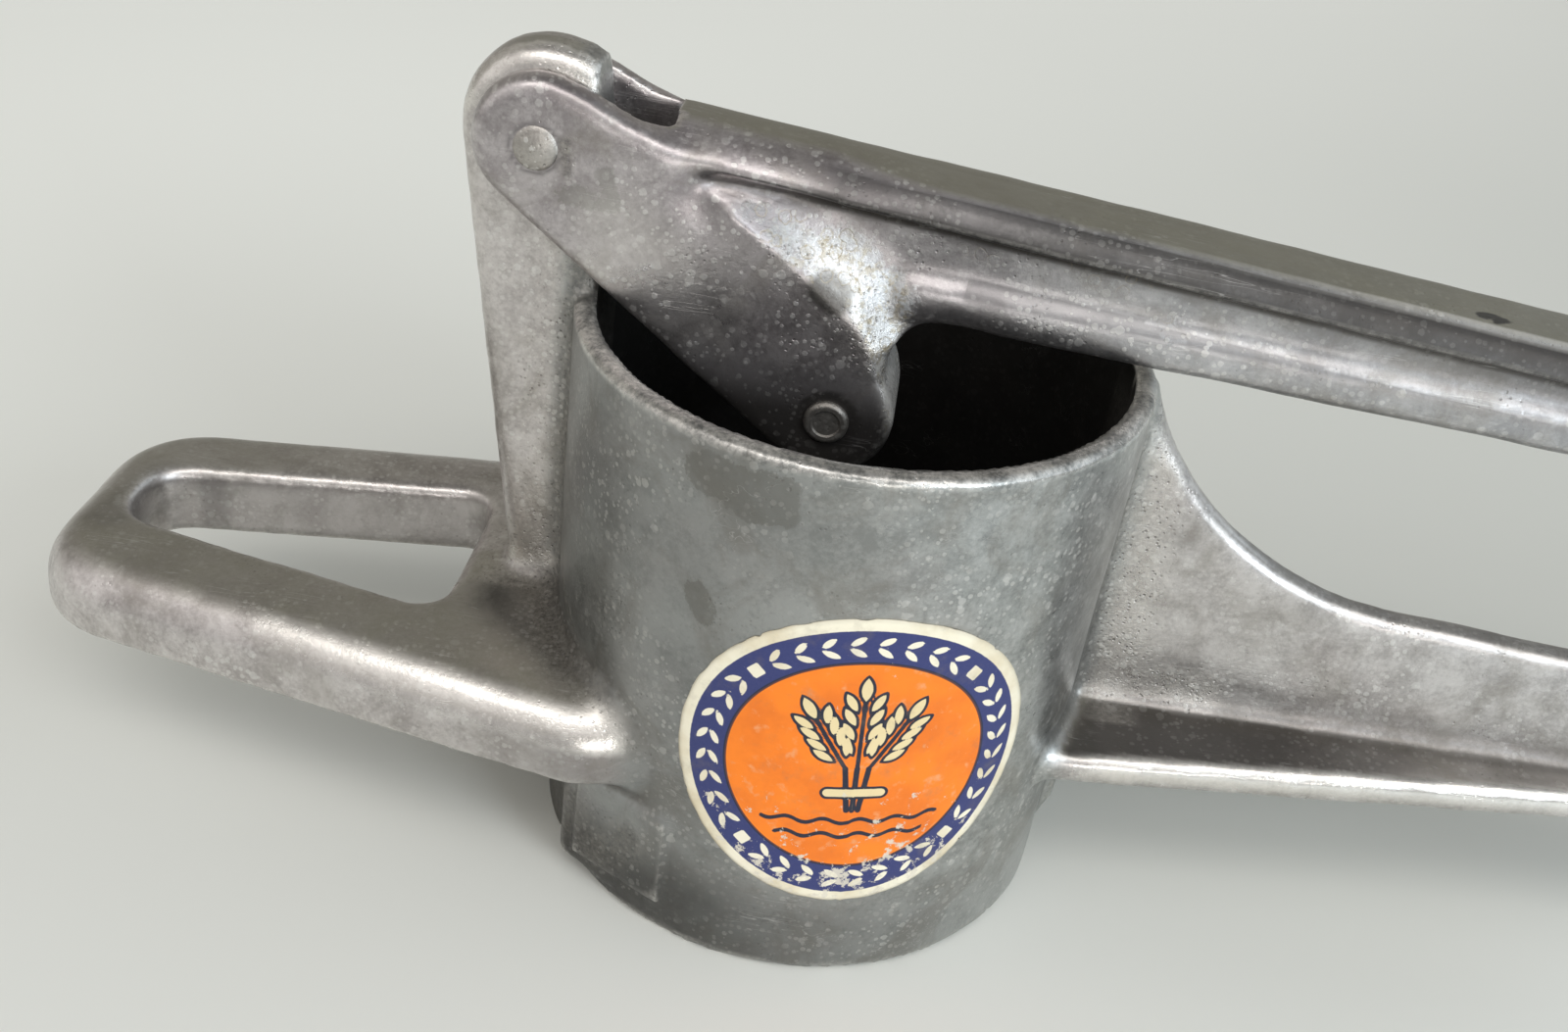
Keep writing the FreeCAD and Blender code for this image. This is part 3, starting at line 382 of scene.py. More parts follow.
def casting_marks(places, facing):
    """Painted shade in the bore, on the flange, rim and web top and on the pot's left, a painted shadow
    on the loop's plate by the post, a wall darker towards its foot, soot and spots, drip stains on
    the wall, coarse sand at the roots, and painted highlights on rounded edges.
    """
    x, y, z = places.T
    _, facing_y, facing_z = facing.T
    wide = np.hypot(x, y)
    on_wall = wide > 38.5
    round_wall = np.arctan2(x, -y) * WALL_ARC
    # painted shade: the bore is painted near black
    inside = np.clip((38.3 - wide) / 0.5, 0, 1) * np.clip((85.2 - z) / 0.5, 0, 1) * (z > 1)
    # painted dark reflection on the flange's upward face
    shelf = np.clip((facing_z - 0.75) * 6, 0, 1) * np.clip((x - 42 + np.abs(y) * 0.3) / 3, 0, 1) \
        * (z < flange_top(x) + 1.5) * np.clip(1.1 - (x - 58) / 60, 0.47, 0.89)
    # painted shadow on the loop's plate between the post and the pot
    crease = (x < -28) * np.clip((50 - wide) / 8, 0, 1) * (wide > 39) * (z > 33) \
        * np.clip((42 - z) / 4, 0, 1) * np.clip(1.1 - (x + 36) / 12, 0.5, 1)
    # painted shadow on the loop's plate beside the post
    behind_post = near(x, y, [(-45, -11, -36, -19, 7.5)]) * (z > 33) * (z < 39) * 0.78
    back_face = (x < -45) * (y > 6) * (facing_y < -0.6) * 0.36
    # painted shade on the loop arm's face where it runs into the pot
    end_face = np.clip((x + 56) / 26, 0, 1) * (x < -15) * (wide > 40.3) * (y < -28) \
        * (z < 31.5) * (z > 18) * 0.50
    tip = near(x, y, [(-110, -8, -107, 4, 5)]) * (z > 34) * 0.42
    tip_inside = near(x, y, [(-108, -2, -100, 8, 3)]) * (z < 35) * 0.50
    # painted shade: the pot's wall darker towards its left side
    left_wall_shade = on_wall * np.clip((44 - wide) / 2.5, 0, 1) * np.clip(0.38 - x / 100, 0, 0.48)
    # painted shade on the web's top face and upper rim, toning down its reflection
    web_edge = (x > 42) * (z > flange_top(x) + 6) * np.maximum(
        np.clip((facing_z - 0.72) / 0.12, 0, 1) * 0.62,
        np.clip((facing_z - 0.12) / 0.15, 0, 1) * 0.24)
    ridge = near(round_wall, z, [(-47.7, 44.6, -38.4, 39.1, 0.8), (-38.4, 39.1, -28, 36.5, 0.8),
                                 (-28, 36.5, -23.4, 32.6, 0.8)]) * (wide > 39)
    # the wall is painted darker towards its foot and towards the left
    foot_darkening = np.clip((32 - z) / 22, 0, 1) * np.clip(0.64 - x / 110, 0.26, 0.95) \
        * on_wall * np.clip((44 - wide) / 1.5, 0, 1)
    low_left = near(round_wall, z, [(-29, 8, -22, 15, 3.5), (-44, 6, -34, 14, 5)]) * on_wall
    spots = near(round_wall, z, [(-24.8, 67.5, -24.4, 67.8, 1.3)]) * on_wall * 0.55
    # painted shade on the rim's top, toning down its highlight
    rim_shade = np.clip((z - 84.4) / 0.8, 0, 1) * (wide < 41.2) * 0.60
    soot_and_shade = np.maximum.reduce([
        inside, shelf * 1.05, crease * 0.95, low_left * 0.75, spots, rim_shade, ridge * 0.6,
        foot_darkening, behind_post, back_face, end_face, tip, tip_inside, left_wall_shade, web_edge])
    stain = near(round_wall, z, [(-16.5, 80, -7, 80.5, 3.2), (-10, 77.5, -6, 78, 2.2),
                                 (-16, 62, -14.5, 60, 2.2)]) \
        * on_wall * (wide < 41.6) * (y < 0)
    web_root = near(x, z, [(42, 78, 46, 36, 4.5), (46, 36, 60, 36, 2.6)]) * (np.abs(y) < 9)
    post_foot = near(x, z, [(-50, 40, -40, 42, 5.5), (-40.5, 42, -40.5, 84, 1.8)]) * (np.abs(y) < 9)
    post = (x < -37) * (np.abs(y) < 8) * (z > 38) * np.clip((x + 50) / 12, 0.15, 0.55)
    coarse = np.maximum.reduce([
        web_root, post_foot * 0.9, low_left * 0.5, crease * 0.7, post, ridge * 0.6])
    warm = np.clip((wide - 41.5) / 2.5, 0, 1) * np.where(x > 0, 0.75, 1.0)
    upward = np.clip((facing_z - 0.70) / 0.25, 0, 1)
    loop_dust = np.where(y > 0, np.clip(-0.25 - x / 100, 0.3, 0.95), 0.95)
    dust = upward * (z > 20) * np.where(x > 44, 0.35, loop_dust) * (wide > 42)
    # painted highlights: a crest at the post's foot, a streak along the loop arm's rounded edge, the
    # flange's bull nose and a band on the post's head
    crest = near(x, z, [(-50, 39.0, -42, 41.0, 1.3)]) * (y < 2) * (y > -8) * (z > 38.3)
    arm = near(x, y, [(-78, -25.0, -58, -29.7, 2.0), (-58, -29.7, -43, -32.6, 2.6),
                      (-43, -32.6, -26, -35.2, 2.6)]) \
        * (z > 30.5) * np.clip((0.94 - facing_z) / 0.10, 0, 1) \
        * np.clip((facing_z - 0.15) * 4, 0, 1) * 0.85
    bull_nose = np.clip((x - 40) / 6, 0, 1) * (y < -6) * (z < flange_top(x) + 1) \
        * np.clip((-0.2 - facing_y) * 3, 0, 1) * np.clip((facing_z + 0.35) * 3, 0, 1)
    band = (x < -40) * (z > 108) * (y < -2) * (facing_y < -0.25) * (facing_z > 0.1) * 0.6
    polish_and_highlight = np.maximum.reduce([crest, arm, bull_nose, band, web_root * (y < 0) * 0.15])
    return {"soot_and_shade": soot_and_shade, "stain": stain, "coarse": coarse, "warm": warm, "dust": dust,
            "polish_and_highlight": polish_and_highlight}


def casting_trued(places):
    """Puts the bore, the underside and the outside of the pot back on their cone and planes."""
    x, y, z = places.T
    wide = np.hypot(x, y)
    wall = FOOT_RADIUS + (RIM_RADIUS - FOOT_RADIUS) * z / POT_HEIGHT
    bore = (np.abs(wide - BORE_RADIUS) < 0.5 * MM) & (z > FLOOR_THICKNESS)
    outside = (np.abs(wide - wall) < 0.22 * MM) & (z > MM) & (z < POT_HEIGHT - MM)
    true_wide = np.where(bore, BORE_RADIUS, np.where(outside, wall, wide))
    stub = np.clip(12 - np.abs(np.arctan2(x, -y) * WALL_ARC + 24) / 0.7, 0, 1) \
        * np.clip(10.5 - np.abs(z / MM - 14) / 0.8, 0, 1) * (wide > 39 * MM)
    true_wide = true_wide + stub * STUB_HEIGHT * MM
    places = places * (np.stack([true_wide, true_wide, wide], 1) / wide[:, None])
    places[:, 2] = np.where(z < 0.35 * MM, 0, places[:, 2])
    return places


def in_floor(corners):
    """Whether a face is the pot's underside, the top of its floor or the wall of a drain hole."""
    under = all(c.z < NEARLY for c in corners)
    floor_top = all(abs(c.z - FLOOR_THICKNESS) < NEARLY and c.xy.length < BORE_RADIUS + NEARLY
                    for c in corners)
    drain = all(c.xy.length < BORE_RADIUS - 0.3 * MM and c.z < FLOOR_THICKNESS + NEARLY
                for c in corners)
    return under or floor_top or drain


body_casting = welded("body_casting", "body_casting_skin")
plugged(body_casting, in_floor)
sand_cast(body_casting, CASTING_GRAIN, 7, casting_firm, casting_flow, casting_trued, casting_marks,
          CASTING_FACES)

casting_finish = aged_aluminium(
    "Casting_finish", cool=((0.55, 0.562, 0.55, 1), (0.285, 0.295, 0.288, 1)),
    warm=((0.70, 0.665, 0.65, 1), (0.42, 0.39, 0.38, 1)), gloss=0.19, seed=3)


def add_input(tree, name, kind, value):
    """A named input of a Geometry Nodes tree."""
    made = tree.interface.new_socket(name, in_out="INPUT", socket_type=kind)
    if value is not None:
        made.default_value = value


def new_tree(name, inputs):
    """A Geometry Nodes tree with named inputs; gives the tree and the wires of its inputs."""
    tree = bpy.data.node_groups.new(name, "GeometryNodeTree")
    for title, kind, value in inputs:
        add_input(tree, title, kind, value)
    tree.interface.new_socket("Geometry", in_out="OUTPUT", socket_type="NodeSocketGeometry")
    entry = tree.nodes.new("NodeGroupInput")
    return tree, {title: Wire(tree, entry.outputs[title]) for title, _, _ in inputs}


def grown(tree, name, values):
    """An object whose mesh comes from a Geometry Nodes tree with these values."""
    made = bpy.data.objects.new(name, bpy.data.meshes.new(name))
    bpy.context.scene.collection.objects.link(made)
    maker = made.modifiers.new("Maker", "NODES")
    maker.node_group = tree
    for item in tree.interface.items_tree:
        if item.in_out == "INPUT" and item.name in values:
            maker[item.identifier] = values[item.name]
    return finished(made)


drill_tree, sizes = new_tree("Drain_holes", [
    ("Pitch", "NodeSocketFloat", DRAIN_PITCH), ("Radius", "NodeSocketFloat", DRAIN_RADIUS),
    ("Depth", "NodeSocketFloat", DRILL_DEPTH), ("Rings", "NodeSocketInt", DRAIN_RINGS),
    ("Finish", "NodeSocketMaterial", None)])
wire = Wire(drill_tree)
count = sizes["Rings"] * (sizes["Rings"] + 1) * 3
index = wire.node("GeometryNodeInputIndex")
ring = wire.maths("FLOOR", (wire.maths("SQRT", index * 12 + 9) + 3.0001) / 6)
turn = (index - ring * (ring - 1) * 3) / (ring * 6) * math.tau
across = sizes["Pitch"] * ring
place = wire.node("ShaderNodeCombineXYZ", {}, {
    "X": across * wire.maths("COSINE", turn), "Y": across * wire.maths("SINE", turn)})
points = wire.node("GeometryNodePoints", {}, {"Count": count, "Position": place})
hole = wire.node("GeometryNodeMeshCylinder", {}, {
    "Vertices": 20, "Radius": sizes["Radius"], "Depth": sizes["Depth"]})
holes = wire.node("GeometryNodeInstanceOnPoints", {}, {"Points": points, "Instance": hole})
holes = wire.node("GeometryNodeRealizeInstances", {}, {"Geometry": holes})
holes = wire.node("GeometryNodeSetMaterial", {}, {"Geometry": holes, "Material": sizes["Finish"]})
wire.node("NodeGroupOutput", {}, {"Geometry": holes})
drill = grown(drill_tree, "drain_drill", {
    "Pitch": DRAIN_PITCH, "Radius": DRAIN_RADIUS, "Rings": DRAIN_RINGS, "Depth": DRILL_DEPTH,
    "Finish": casting_finish})
bore_out = body_casting.modifiers.new("Drill", "BOOLEAN")
bore_out.operation = "DIFFERENCE"
bore_out.solver = "MANIFOLD"
bore_out.object = drill
finished(body_casting)
bpy.data.objects.remove(drill)
coated(body_casting, casting_finish)
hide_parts("body_casting")
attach(body_casting, "body")


# ---- Lever ----
# The lever is a second sand casting: two cheeks round the post, a crowned cap along its top, a thin
# panel and a bead below. Hands have rubbed the cap, whose front edge also carries a painted highlight,
# and dough has etched the shoulder.
LEVER_GRAIN = 0.70 * MM
LEVER_FACES = 150000
LEVER_SLOPE = 0.0787
PIN_HOLE_RADIUS = 3.2 * MM
PIVOT = Vector((-46.0, 0, 107.0)) * MM
JOINT = Vector((-3.4327, 0, 74.9233)) * MM


def lever_firm(places):
    """The slot between the cheeks is machined, so its faces and edges stay flat."""
    x, y, z = places.T / MM
    slot = (np.abs(y) < 6.2) & ((x < -28) | (z < 82) & (x < 14))
    return np.where(slot, 0.75, 0.0)


def lever_flow(places):
    """The shoulder and the neck run softly into the panel and the bead."""
    x, y, z = places.T / MM
    shoulder = near(x, z, [(-16, 99, -4, 92, 5), (-4, 90, 6, 88, 5), (6, 86, 14, 92, 3)])
    return np.maximum(shoulder, near(x, z, [(-25, 105, -11, 104, 4)])) * 0.9


def shoulder_depth(x, z):
    """How far behind the fold of the shoulder a place lies, in millimetres."""
    return np.maximum((x + 11.7) * 0.53 + (z - 97.4) * 0.85, (x + 2.3) * 0.80 + (z - 91) * 0.60)


def lever_trued(places):
    """Gives the cap a flatter back and steeper sides, and the cheeks a fold at the shoulder."""
    x, y, z = places.T / MM
    side = np.abs(y)
    above = z - 105.9 + x * LEVER_SLOPE
    raised = np.clip((side - 2) / 4.5, 0, 1) * np.clip((9.2 - side) / 1.3, 0, 1) * (above > 0) * 1.15
    places[:, 2] += (raised - np.clip(above / 1.5, 0, 1) * 0.6) * np.clip((x + 8) / 14, 0, 1) * MM
    behind = shoulder_depth(x, z)
    wanted = 4.6 + 5.0 * np.clip(1 - behind / 10, 0, 1) ** 2
    fuller = np.clip(wanted - side, 0, 2.6) * (side > 4.2) \
        * np.clip((x + 27) / 7, 0, 1) * np.clip((z - 77) / 6, 0, 1) \
        * np.clip((9 - x) / 5, 0, 1) * np.clip((104.5 - x * LEVER_SLOPE - z) / 2, 0, 1)
    places[:, 1] += np.sign(y) * fuller * MM
    return places


def lever_marks(places, facing):
    """Dough has etched the shoulder bright, dirt sits round the pins, and the fork hangs in the pot.
    The fork and the groove under the cap carry painted shade, and the cap's edge, the lobe and the
    patch's core carry painted highlights.
    """
    x, y, z = places.T
    facing_x, _, facing_z = facing.T
    front = y < -3
    on_slope = np.clip(shoulder_depth(x, z) / np.clip(0.8 - (x + 7) / 5, 0.8, 3) + 0.6, 0, 1)
    rim = near(x, z, [(1.2, 86.5, 2.7, 83.6, 0.9), (2.7, 83.6, 4.2, 80, 0.6)]) * 0.75
    etched = near(x, z, [(-19, 102, -9, 98, 3.2), (-7, 97, 1, 93, 4.6), (-3, 92, 2, 88, 3.2),
                         (0, 88, 3.5, 82, 1.6)]) * on_slope * np.clip((x + 23) / 16, 0.1, 1)
    slope_film = on_slope * (y < -4.6) * (z > 84) * (z < 104) * (x > -24) \
        * np.clip(-(x + 3) / 12, 0, 1) * 0.50
    core = near(x, z, [(-6.5, 96.9, -3, 94, 2.2), (-3, 94, -1, 90.5, 1.6), (0.5, 88, 2.4, 83, 1.4),
                       (2.4, 83, 4.4, 78.5, 0.9)])
    thin = near(x, z, [(-36, 89.6, -29.5, 93.6, 0.6)]) * 0.55
    drops = near(x, z, [(13, 102, 14, 102, 3), (27, 101.5, 34, 101, 3), (40, 95, 41, 95, 2.5)]) * 0.32
    lobe = near(x, z, [(5.0, 80, 7.0, 74, 1.6)]) * (facing_x > 0.4)
    spots = near(x, z, [(-6.6, 94.0, -5.0, 92.9, 2.3)]) * (y < 2) * 1.2
    top_spot = near(x, y, [(78.4, -3.4, 79.4, -2.8, 0.8), (79.8, -2.5, 81.6, -3.3, 0.6),
                           (80.2, -4.2, 80.8, -3.6, 0.5)]) * (z > 100) * 1.5
    pin_ring = np.clip(1.5 - np.abs(np.hypot(x + 46, z - 107) - 3.3) / 0.45, 0, 1) * 0.55
    pin_pits = near(x, z, [(-41.9, 108.6, -41.7, 104.4, 0.9)])
    lower_ring = np.clip(1.6 - np.abs(np.hypot(x + 3.4, z - 74.9) - 3.7), 0, 1)
    # painted shade: the fork is painted darker the deeper it hangs in the pot
    sunk = np.clip((87 - z) / 12, 0, 1) * (x < 12) * 0.93
    # painted shade with some grime in the groove under the cap, set by which way each face turns
    under = 110.5 - x * LEVER_SLOPE - z
    side = np.clip(0.94 - (x - 20) / 600, 0.7, 0.94)
    band = np.clip(0.72 + (x - 5) / 300, 0.72, 0.92)
    tilt = np.clip((facing_z - 0.40) / 0.15, 0, 1)
    cap_dark = (side + (band - side) * tilt) * np.clip((0.93 - facing_z) / 0.06, 0, 1)
    groove_shade_and_grime = np.clip(7.8 - under, 0, 1) * (under > -3) * cap_dark * np.clip((x + 16) / 10, 0, 1) \
        * (z > 80)
    bead = (x > 12) * (under > 12) * np.clip((facing_z + 0.1) * 3, 0, 1) * 0.46
    soot_and_shade = np.maximum.reduce([
        spots, top_spot, bead, slope_film, pin_ring * front, pin_pits * front * 0.62, lower_ring,
        sunk, groove_shade_and_grime])
    stain = near(x, z, [(-42, 101.5, -35.5, 101.5, 2.3), (-36.5, 105, -36, 102, 1.6)]) * front * 0.7
    coarse = near(x, z, [(-8, 98, 0, 93, 4), (-2, 92, 3, 86, 4)]) * (0.75 - spots * 0.45)
    coarse = np.maximum(coarse, pin_pits)
    dust = np.clip((facing_z - 0.92) / 0.06, 0, 1) * (under < 6) * (x > -30) * 1.2
    warm = np.clip(1.05 - (x + 10) / 60, 0.25, 1)
    # painted highlights along the cap's front edge, down the lobe and on the etched patch's core; the
    # cheek and the patch's rim are rubbed
    cap_line = (under < 4) * np.clip((facing_z - 0.82) / 0.06, 0, 1) * (facing_z < 0.97) \
        * (y < 0) * np.clip((x - 30) / 60, 0, 0.7)
    cheek = near(x, z, [(-35, 98, -22, 88, 5), (-36, 93, -28, 85, 4)]) * front * 0.38
    polish_and_highlight = np.maximum.reduce([cap_line, lobe * 0.9, cheek, rim * 1.2 * front, core * front * 0.35])
    etched = np.maximum.reduce([etched, rim, thin, drops, lobe]) * (front | (facing_x > 0.4))
    return {"etched": etched, "soot_and_shade": soot_and_shade, "stain": stain, "coarse": coarse, "warm": warm,
            "dust": dust, "polish_and_highlight": polish_and_highlight}


def in_pin_hole(corners):
    """Whether a face is the wall of one of the two pin holes."""
    return any(all(math.hypot(c.x - centre.x, c.z - centre.z) < PIN_HOLE_RADIUS for c in corners)
               for centre in (PIVOT, JOINT))


lever = welded("lever", "lever_skin")
plugged(lever, in_pin_hole)
sand_cast(lever, LEVER_GRAIN, 8, lever_firm, lever_flow, lever_trued, lever_marks, LEVER_FACES,
          math.atan(LEVER_SLOPE))
lever_finish = aged_aluminium(
    "Lever_finish", cool=((0.54, 0.545, 0.55, 1), (0.35, 0.355, 0.36, 1)),
    warm=((0.57, 0.535, 0.54, 1), (0.34, 0.31, 0.315, 1)), gloss=0.22, seed=17)
coated(lever, lever_finish)
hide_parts("lever")
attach(lever, "lever")


# ---- Pins ----
# Three steel pins: the fulcrum pin and the stem pin are pressed through the lever's cheeks and peened
# over, and the crosshead pin joins the stem's foot to the plunger.
PIN_STEPS = 30
PIN_SIDES = 44


def add_pin(name, node, body, centre, half_length, radius, flat, crown, grime):
    """A pin across the press. Its ends run from the full radius down to a flat over the crown."""
    pin = grown(pin_tree, name, {
        "Half length": half_length, "Radius": radius, "Flat": flat, "Crown": crown,
        "Finish": pin_finish})
    pin.data.transform(Matrix.Translation(centre))
    for mark, value in (("soot_and_shade", grime), ("coarse", 0.4)):
        pin.data.attributes.new(mark, "FLOAT", "POINT").data.foreach_set(
            "value", [value] * len(pin.data.vertices))
    for face in pin.data.polygons:
        face.use_smooth = len(face.vertices) < 5
    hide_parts(node)
    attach(pin, body)
    return pin


pin_tree, sizes = new_tree("Pin", [
    ("Half length", "NodeSocketFloat", 0.010), ("Radius", "NodeSocketFloat", 0.003),
    ("Flat", "NodeSocketFloat", 0.002), ("Crown", "NodeSocketFloat", 0.0005),
    ("Finish", "NodeSocketMaterial", None)])
wire = Wire(pin_tree)
line = wire.node("GeometryNodeCurvePrimitiveLine", {}, {"Start": (0, -1, 0), "End": (0, 1, 0)})
line = wire.node("GeometryNodeResampleCurve", {}, {"Curve": line, "Count": 2 * PIN_STEPS + 1})
share = wire.node("GeometryNodeInputIndex") / PIN_STEPS - 1
height = wire.maths("SINE", share * (math.pi / 2)) * sizes["Half length"]
place = wire.node("ShaderNodeCombineXYZ", {}, {"Y": height})
line = wire.node("GeometryNodeSetPosition", {}, {"Geometry": line, "Position": place})
depth = sizes["Half length"] - wire.maths("ABSOLUTE", height)
rise = wire.maths("MINIMUM", depth / sizes["Crown"], 1.0)
round_off = wire.maths("SQRT", rise + 0.0001)
thick = sizes["Flat"] + (sizes["Radius"] - sizes["Flat"]) * round_off
circle = wire.node("GeometryNodeCurvePrimitiveCircle", {}, {"Resolution": PIN_SIDES, "Radius": 1.0})
shank = wire.node("GeometryNodeCurveToMesh", {}, {
    "Curve": line, "Profile Curve": circle, "Scale": thick, "Fill Caps": True})
shank = wire.node("GeometryNodeRealizeInstances", {}, {"Geometry": shank})
shank = wire.node("GeometryNodeSetMaterial", {}, {"Geometry": shank, "Material": sizes["Finish"]})
wire.node("NodeGroupOutput", {}, {"Geometry": shank})
pin_finish = aged_aluminium(
    "Pin_finish", cool=((0.50, 0.475, 0.45, 1), (0.27, 0.25, 0.23, 1)),
    warm=((0.44, 0.41, 0.37, 1), (0.22, 0.20, 0.17, 1)), gloss=0.26, seed=29)
add_pin("fulcrum_pin_steel", "fulcrum_pin", "lever", PIVOT, half_length=10.4 * MM,
        radius=3.1 * MM, flat=0.1 * MM, crown=0.8 * MM, grime=0)
stem_pin = add_pin("stem_pin_steel", "stem_pin", "lever", JOINT, half_length=10.6 * MM,
                   radius=3.15 * MM, flat=2.5 * MM, crown=0.5 * MM, grime=0.55)
turned = bmesh.new()
turned.from_mesh(stem_pin.data)
for inset, sink in ((0.45 * MM, 0), (0.2 * MM, -0.3 * MM)):
    ends = [face for face in turned.faces if len(face.verts) > 5]
    bmesh.ops.inset_individual(turned, faces=ends, thickness=inset, depth=sink)
turned.to_mesh(stem_pin.data)
turned.free()
low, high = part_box("crosshead_pin")
add_pin("crosshead_pin_steel", "crosshead_pin", "stem", (low + high) / 2,
        half_length=(high.y - low.y) / 2, radius=3.0 * MM, flat=2.4 * MM, crown=0.6 * MM, grime=0.5)


# ---- Stem ----
# A flat link of cast aluminium with an eye at each end. It hangs from the stem pin inside the pot,
# and the pin in its lower eye pushes the plunger down.
STEM_GRAIN = 0.6 * MM
STEM_FACES = 40000


def nowhere(places):
    """No place is held firm, and none flows."""
    return np.zeros(len(places))


def as_cast(places):
    """No surface is put back."""
    return places


def stem_marks(places, facing):
    """Oil and dough have darkened the stem all over."""
    return {"warm": np.ones(len(places)), "soot_and_shade": np.full(len(places), 0.35)}


stem = welded("stem", "stem_skin")
sand_cast(stem, STEM_GRAIN, 4, nowhere, nowhere, as_cast, stem_marks, STEM_FACES)
coated(stem, lever_finish)
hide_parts("stem")
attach(stem, "stem")


# ---- Plunger ----
# A turned aluminium disc with two slotted ears. It pushes the dough down the pot, so its edge is
# polished by the bore and its face is stained.
PLUNGER_GRAIN = 0.7 * MM
PLUNGER_FACES = 80000


def plunger_marks(places, facing):
    """Soot lies on what faces up, and thin stains all over."""
    return {"soot_and_shade": np.clip(facing[:, 2], 0, 1) * 0.6, "stain": np.full(len(places), 0.35)}


plunger = welded("plunger", "plunger_skin")
sand_cast(plunger, PLUNGER_GRAIN, 3, nowhere, nowhere, as_cast, plunger_marks, PLUNGER_FACES)
coated(plunger, casting_finish)
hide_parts("plunger")
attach(plunger, "plunger")


# ---- Round label ----
# A round paper label glued to the pot, printed in navy and orange on cream. It is rubbed, stained
# and creased, and its rim has small nicks. The print is a wreath of grain round a sheaf.
# Its sizes are in millimetres.
LABEL_RADIUS = 25.0
LABEL_HEIGHT = 40.0
LABEL_ANGLE = math.radians(12.7)
LABEL_TURN = math.radians(3.0)
LABEL_LIFT = 0.27
PAPER_THICKNESS = 0.16
RING_OUTSIDE = 23.2
RING_INSIDE = 18.0
LEAF_PLACES = 36
MESH_RINGS, MESH_SPOKES = 76, 260


def ear_grain(u, v, x, y, angle, length, width):
    """Distance to a grain of wheat, negative inside, on the paper in millimetres."""
    along = (u - x) * math.cos(angle) + (v - y) * math.sin(angle)
    aside = (v - y) * math.cos(angle) - (u - x) * math.sin(angle)
    curve = (length * length + width * width) / (2 * width)
    return np.maximum(np.hypot(along, aside - curve + width),
                      np.hypot(along, aside + curve - width)) - curve


def stalk(u, v, x0, y0, x1, y1, width):
    """Distance to a straight stroke with round ends."""
    run = ((u - x0) * (x1 - x0) + (v - y0) * (y1 - y0)) / ((x1 - x0) ** 2 + (y1 - y0) ** 2)
    run = np.clip(run, 0, 1)
    return np.hypot(u - x0 - run * (x1 - x0), v - y0 - run * (y1 - y0)) - width / 2


def printed_shapes(u, v):
    """Distances to the dark print in the middle and to the cream print on the ring."""
    dark = np.full(u.shape, 9.0)
    for lean, foot, tall in ((0, 0, 13.6), (29, 1.6, 11.4), (-29, -1.6, 11.4)):
        way = math.radians(90 - lean)
        top_x, top_y = foot + tall * math.cos(way), tall * math.sin(way)
        dark = np.minimum(dark, stalk(u, v, foot * 0.5, -7.6, foot, 0, 0.8))
        dark = np.minimum(dark, stalk(u, v, foot, 0, top_x, top_y, 0.6))
        dark = np.minimum(dark, ear_grain(u, v, top_x, top_y, way, 2.5, 1.15))
        for step in range(4):
            along = tall * (0.30 + 0.18 * step)
            for side in (1, -1):
                x = foot + along * math.cos(way) - side * 1.75 * math.sin(way)
                y = along * math.sin(way) + side * 1.75 * math.cos(way)
                dark = np.minimum(dark, ear_grain(u, v, x, y, way + side * 0.5, 2.25, 1.0))
    dark = np.minimum(dark, stalk(u, v, -3.6, -4.4, 3.6, -4.4, 2.2))
    for row, half in ((-9.6, 12.5), (-12.2, 10.5)):
        ripple = np.abs(v - row - 0.4 * np.sin(u * 1.25)) - 0.36
        dark = np.minimum(dark, np.maximum(ripple, np.abs(u) - half))
    cream = np.full(u.shape, 9.0)
    for place in range(LEAF_PLACES):
        angle = math.tau * place / LEAF_PLACES + math.pi / 4
        if place % 9 == 0:
            x, y = 20.6 * math.cos(angle), 20.6 * math.sin(angle)
            cream = np.minimum(cream, (np.abs(u - x) + np.abs(v - y)) * 0.7 - 0.95)
            continue
        for radius, lean in ((21.5, 0.55), (19.7, -0.55)):
            x, y = radius * math.cos(angle), radius * math.sin(angle)
            grain_way = angle + math.pi / 2 + lean * (1 if place % 18 < 9 else -1)
            cream = np.minimum(cream, ear_grain(u, v, x, y, grain_way, 1.35, 0.50))
    return dark, cream


disc = bmesh.new()
rows = []
for ring in range(MESH_RINGS + 1):
    row = []
    for spoke in range(MESH_SPOKES if ring else 1):
        angle = math.tau * spoke / MESH_SPOKES
        cosine, sine = math.cos(angle), math.sin(angle)
        reach = LABEL_RADIUS * ring / MESH_RINGS
        if ring == MESH_RINGS:
            reach -= 0.35 * max(0, noise.noise(Vector((cosine * 9, sine * 9, 2)))) \
                + 1.1 * max(0, noise.noise(Vector((cosine * 23, sine * 23, 5))) - 0.42)
        row.append(disc.verts.new((reach * cosine, reach * sine, 0)))
    rows.append(row)
for spoke in range(MESH_SPOKES):
    after = (spoke + 1) % MESH_SPOKES
    disc.faces.new((rows[0][0], rows[1][spoke], rows[1][after]))
    for inner, outer in zip(rows[1:], rows[2:]):
        disc.faces.new((inner[spoke], outer[spoke], outer[after], inner[after]))
paper = bpy.data.meshes.new("round_label_paper")
disc.to_mesh(paper)
disc.free()
label = bpy.data.objects.new("round_label_paper", paper)
bpy.context.scene.collection.objects.link(label)
flat = np.empty(len(paper.vertices) * 3)
paper.vertices.foreach_get("co", flat)
u, v = flat.reshape(-1, 3)[:, 0], flat.reshape(-1, 3)[:, 1]
dark, cream = printed_shapes(u, v)
for name, values in (("dark_print", dark), ("cream_print", cream), ("paper_reach", np.hypot(u, v)),
                     ("paper_up", v)):
    mark = paper.attributes.new(name, "FLOAT", "POINT")
    mark.data.foreach_set("value", values.astype(np.float32))
cosine, sine = math.cos(LABEL_TURN), math.sin(LABEL_TURN)
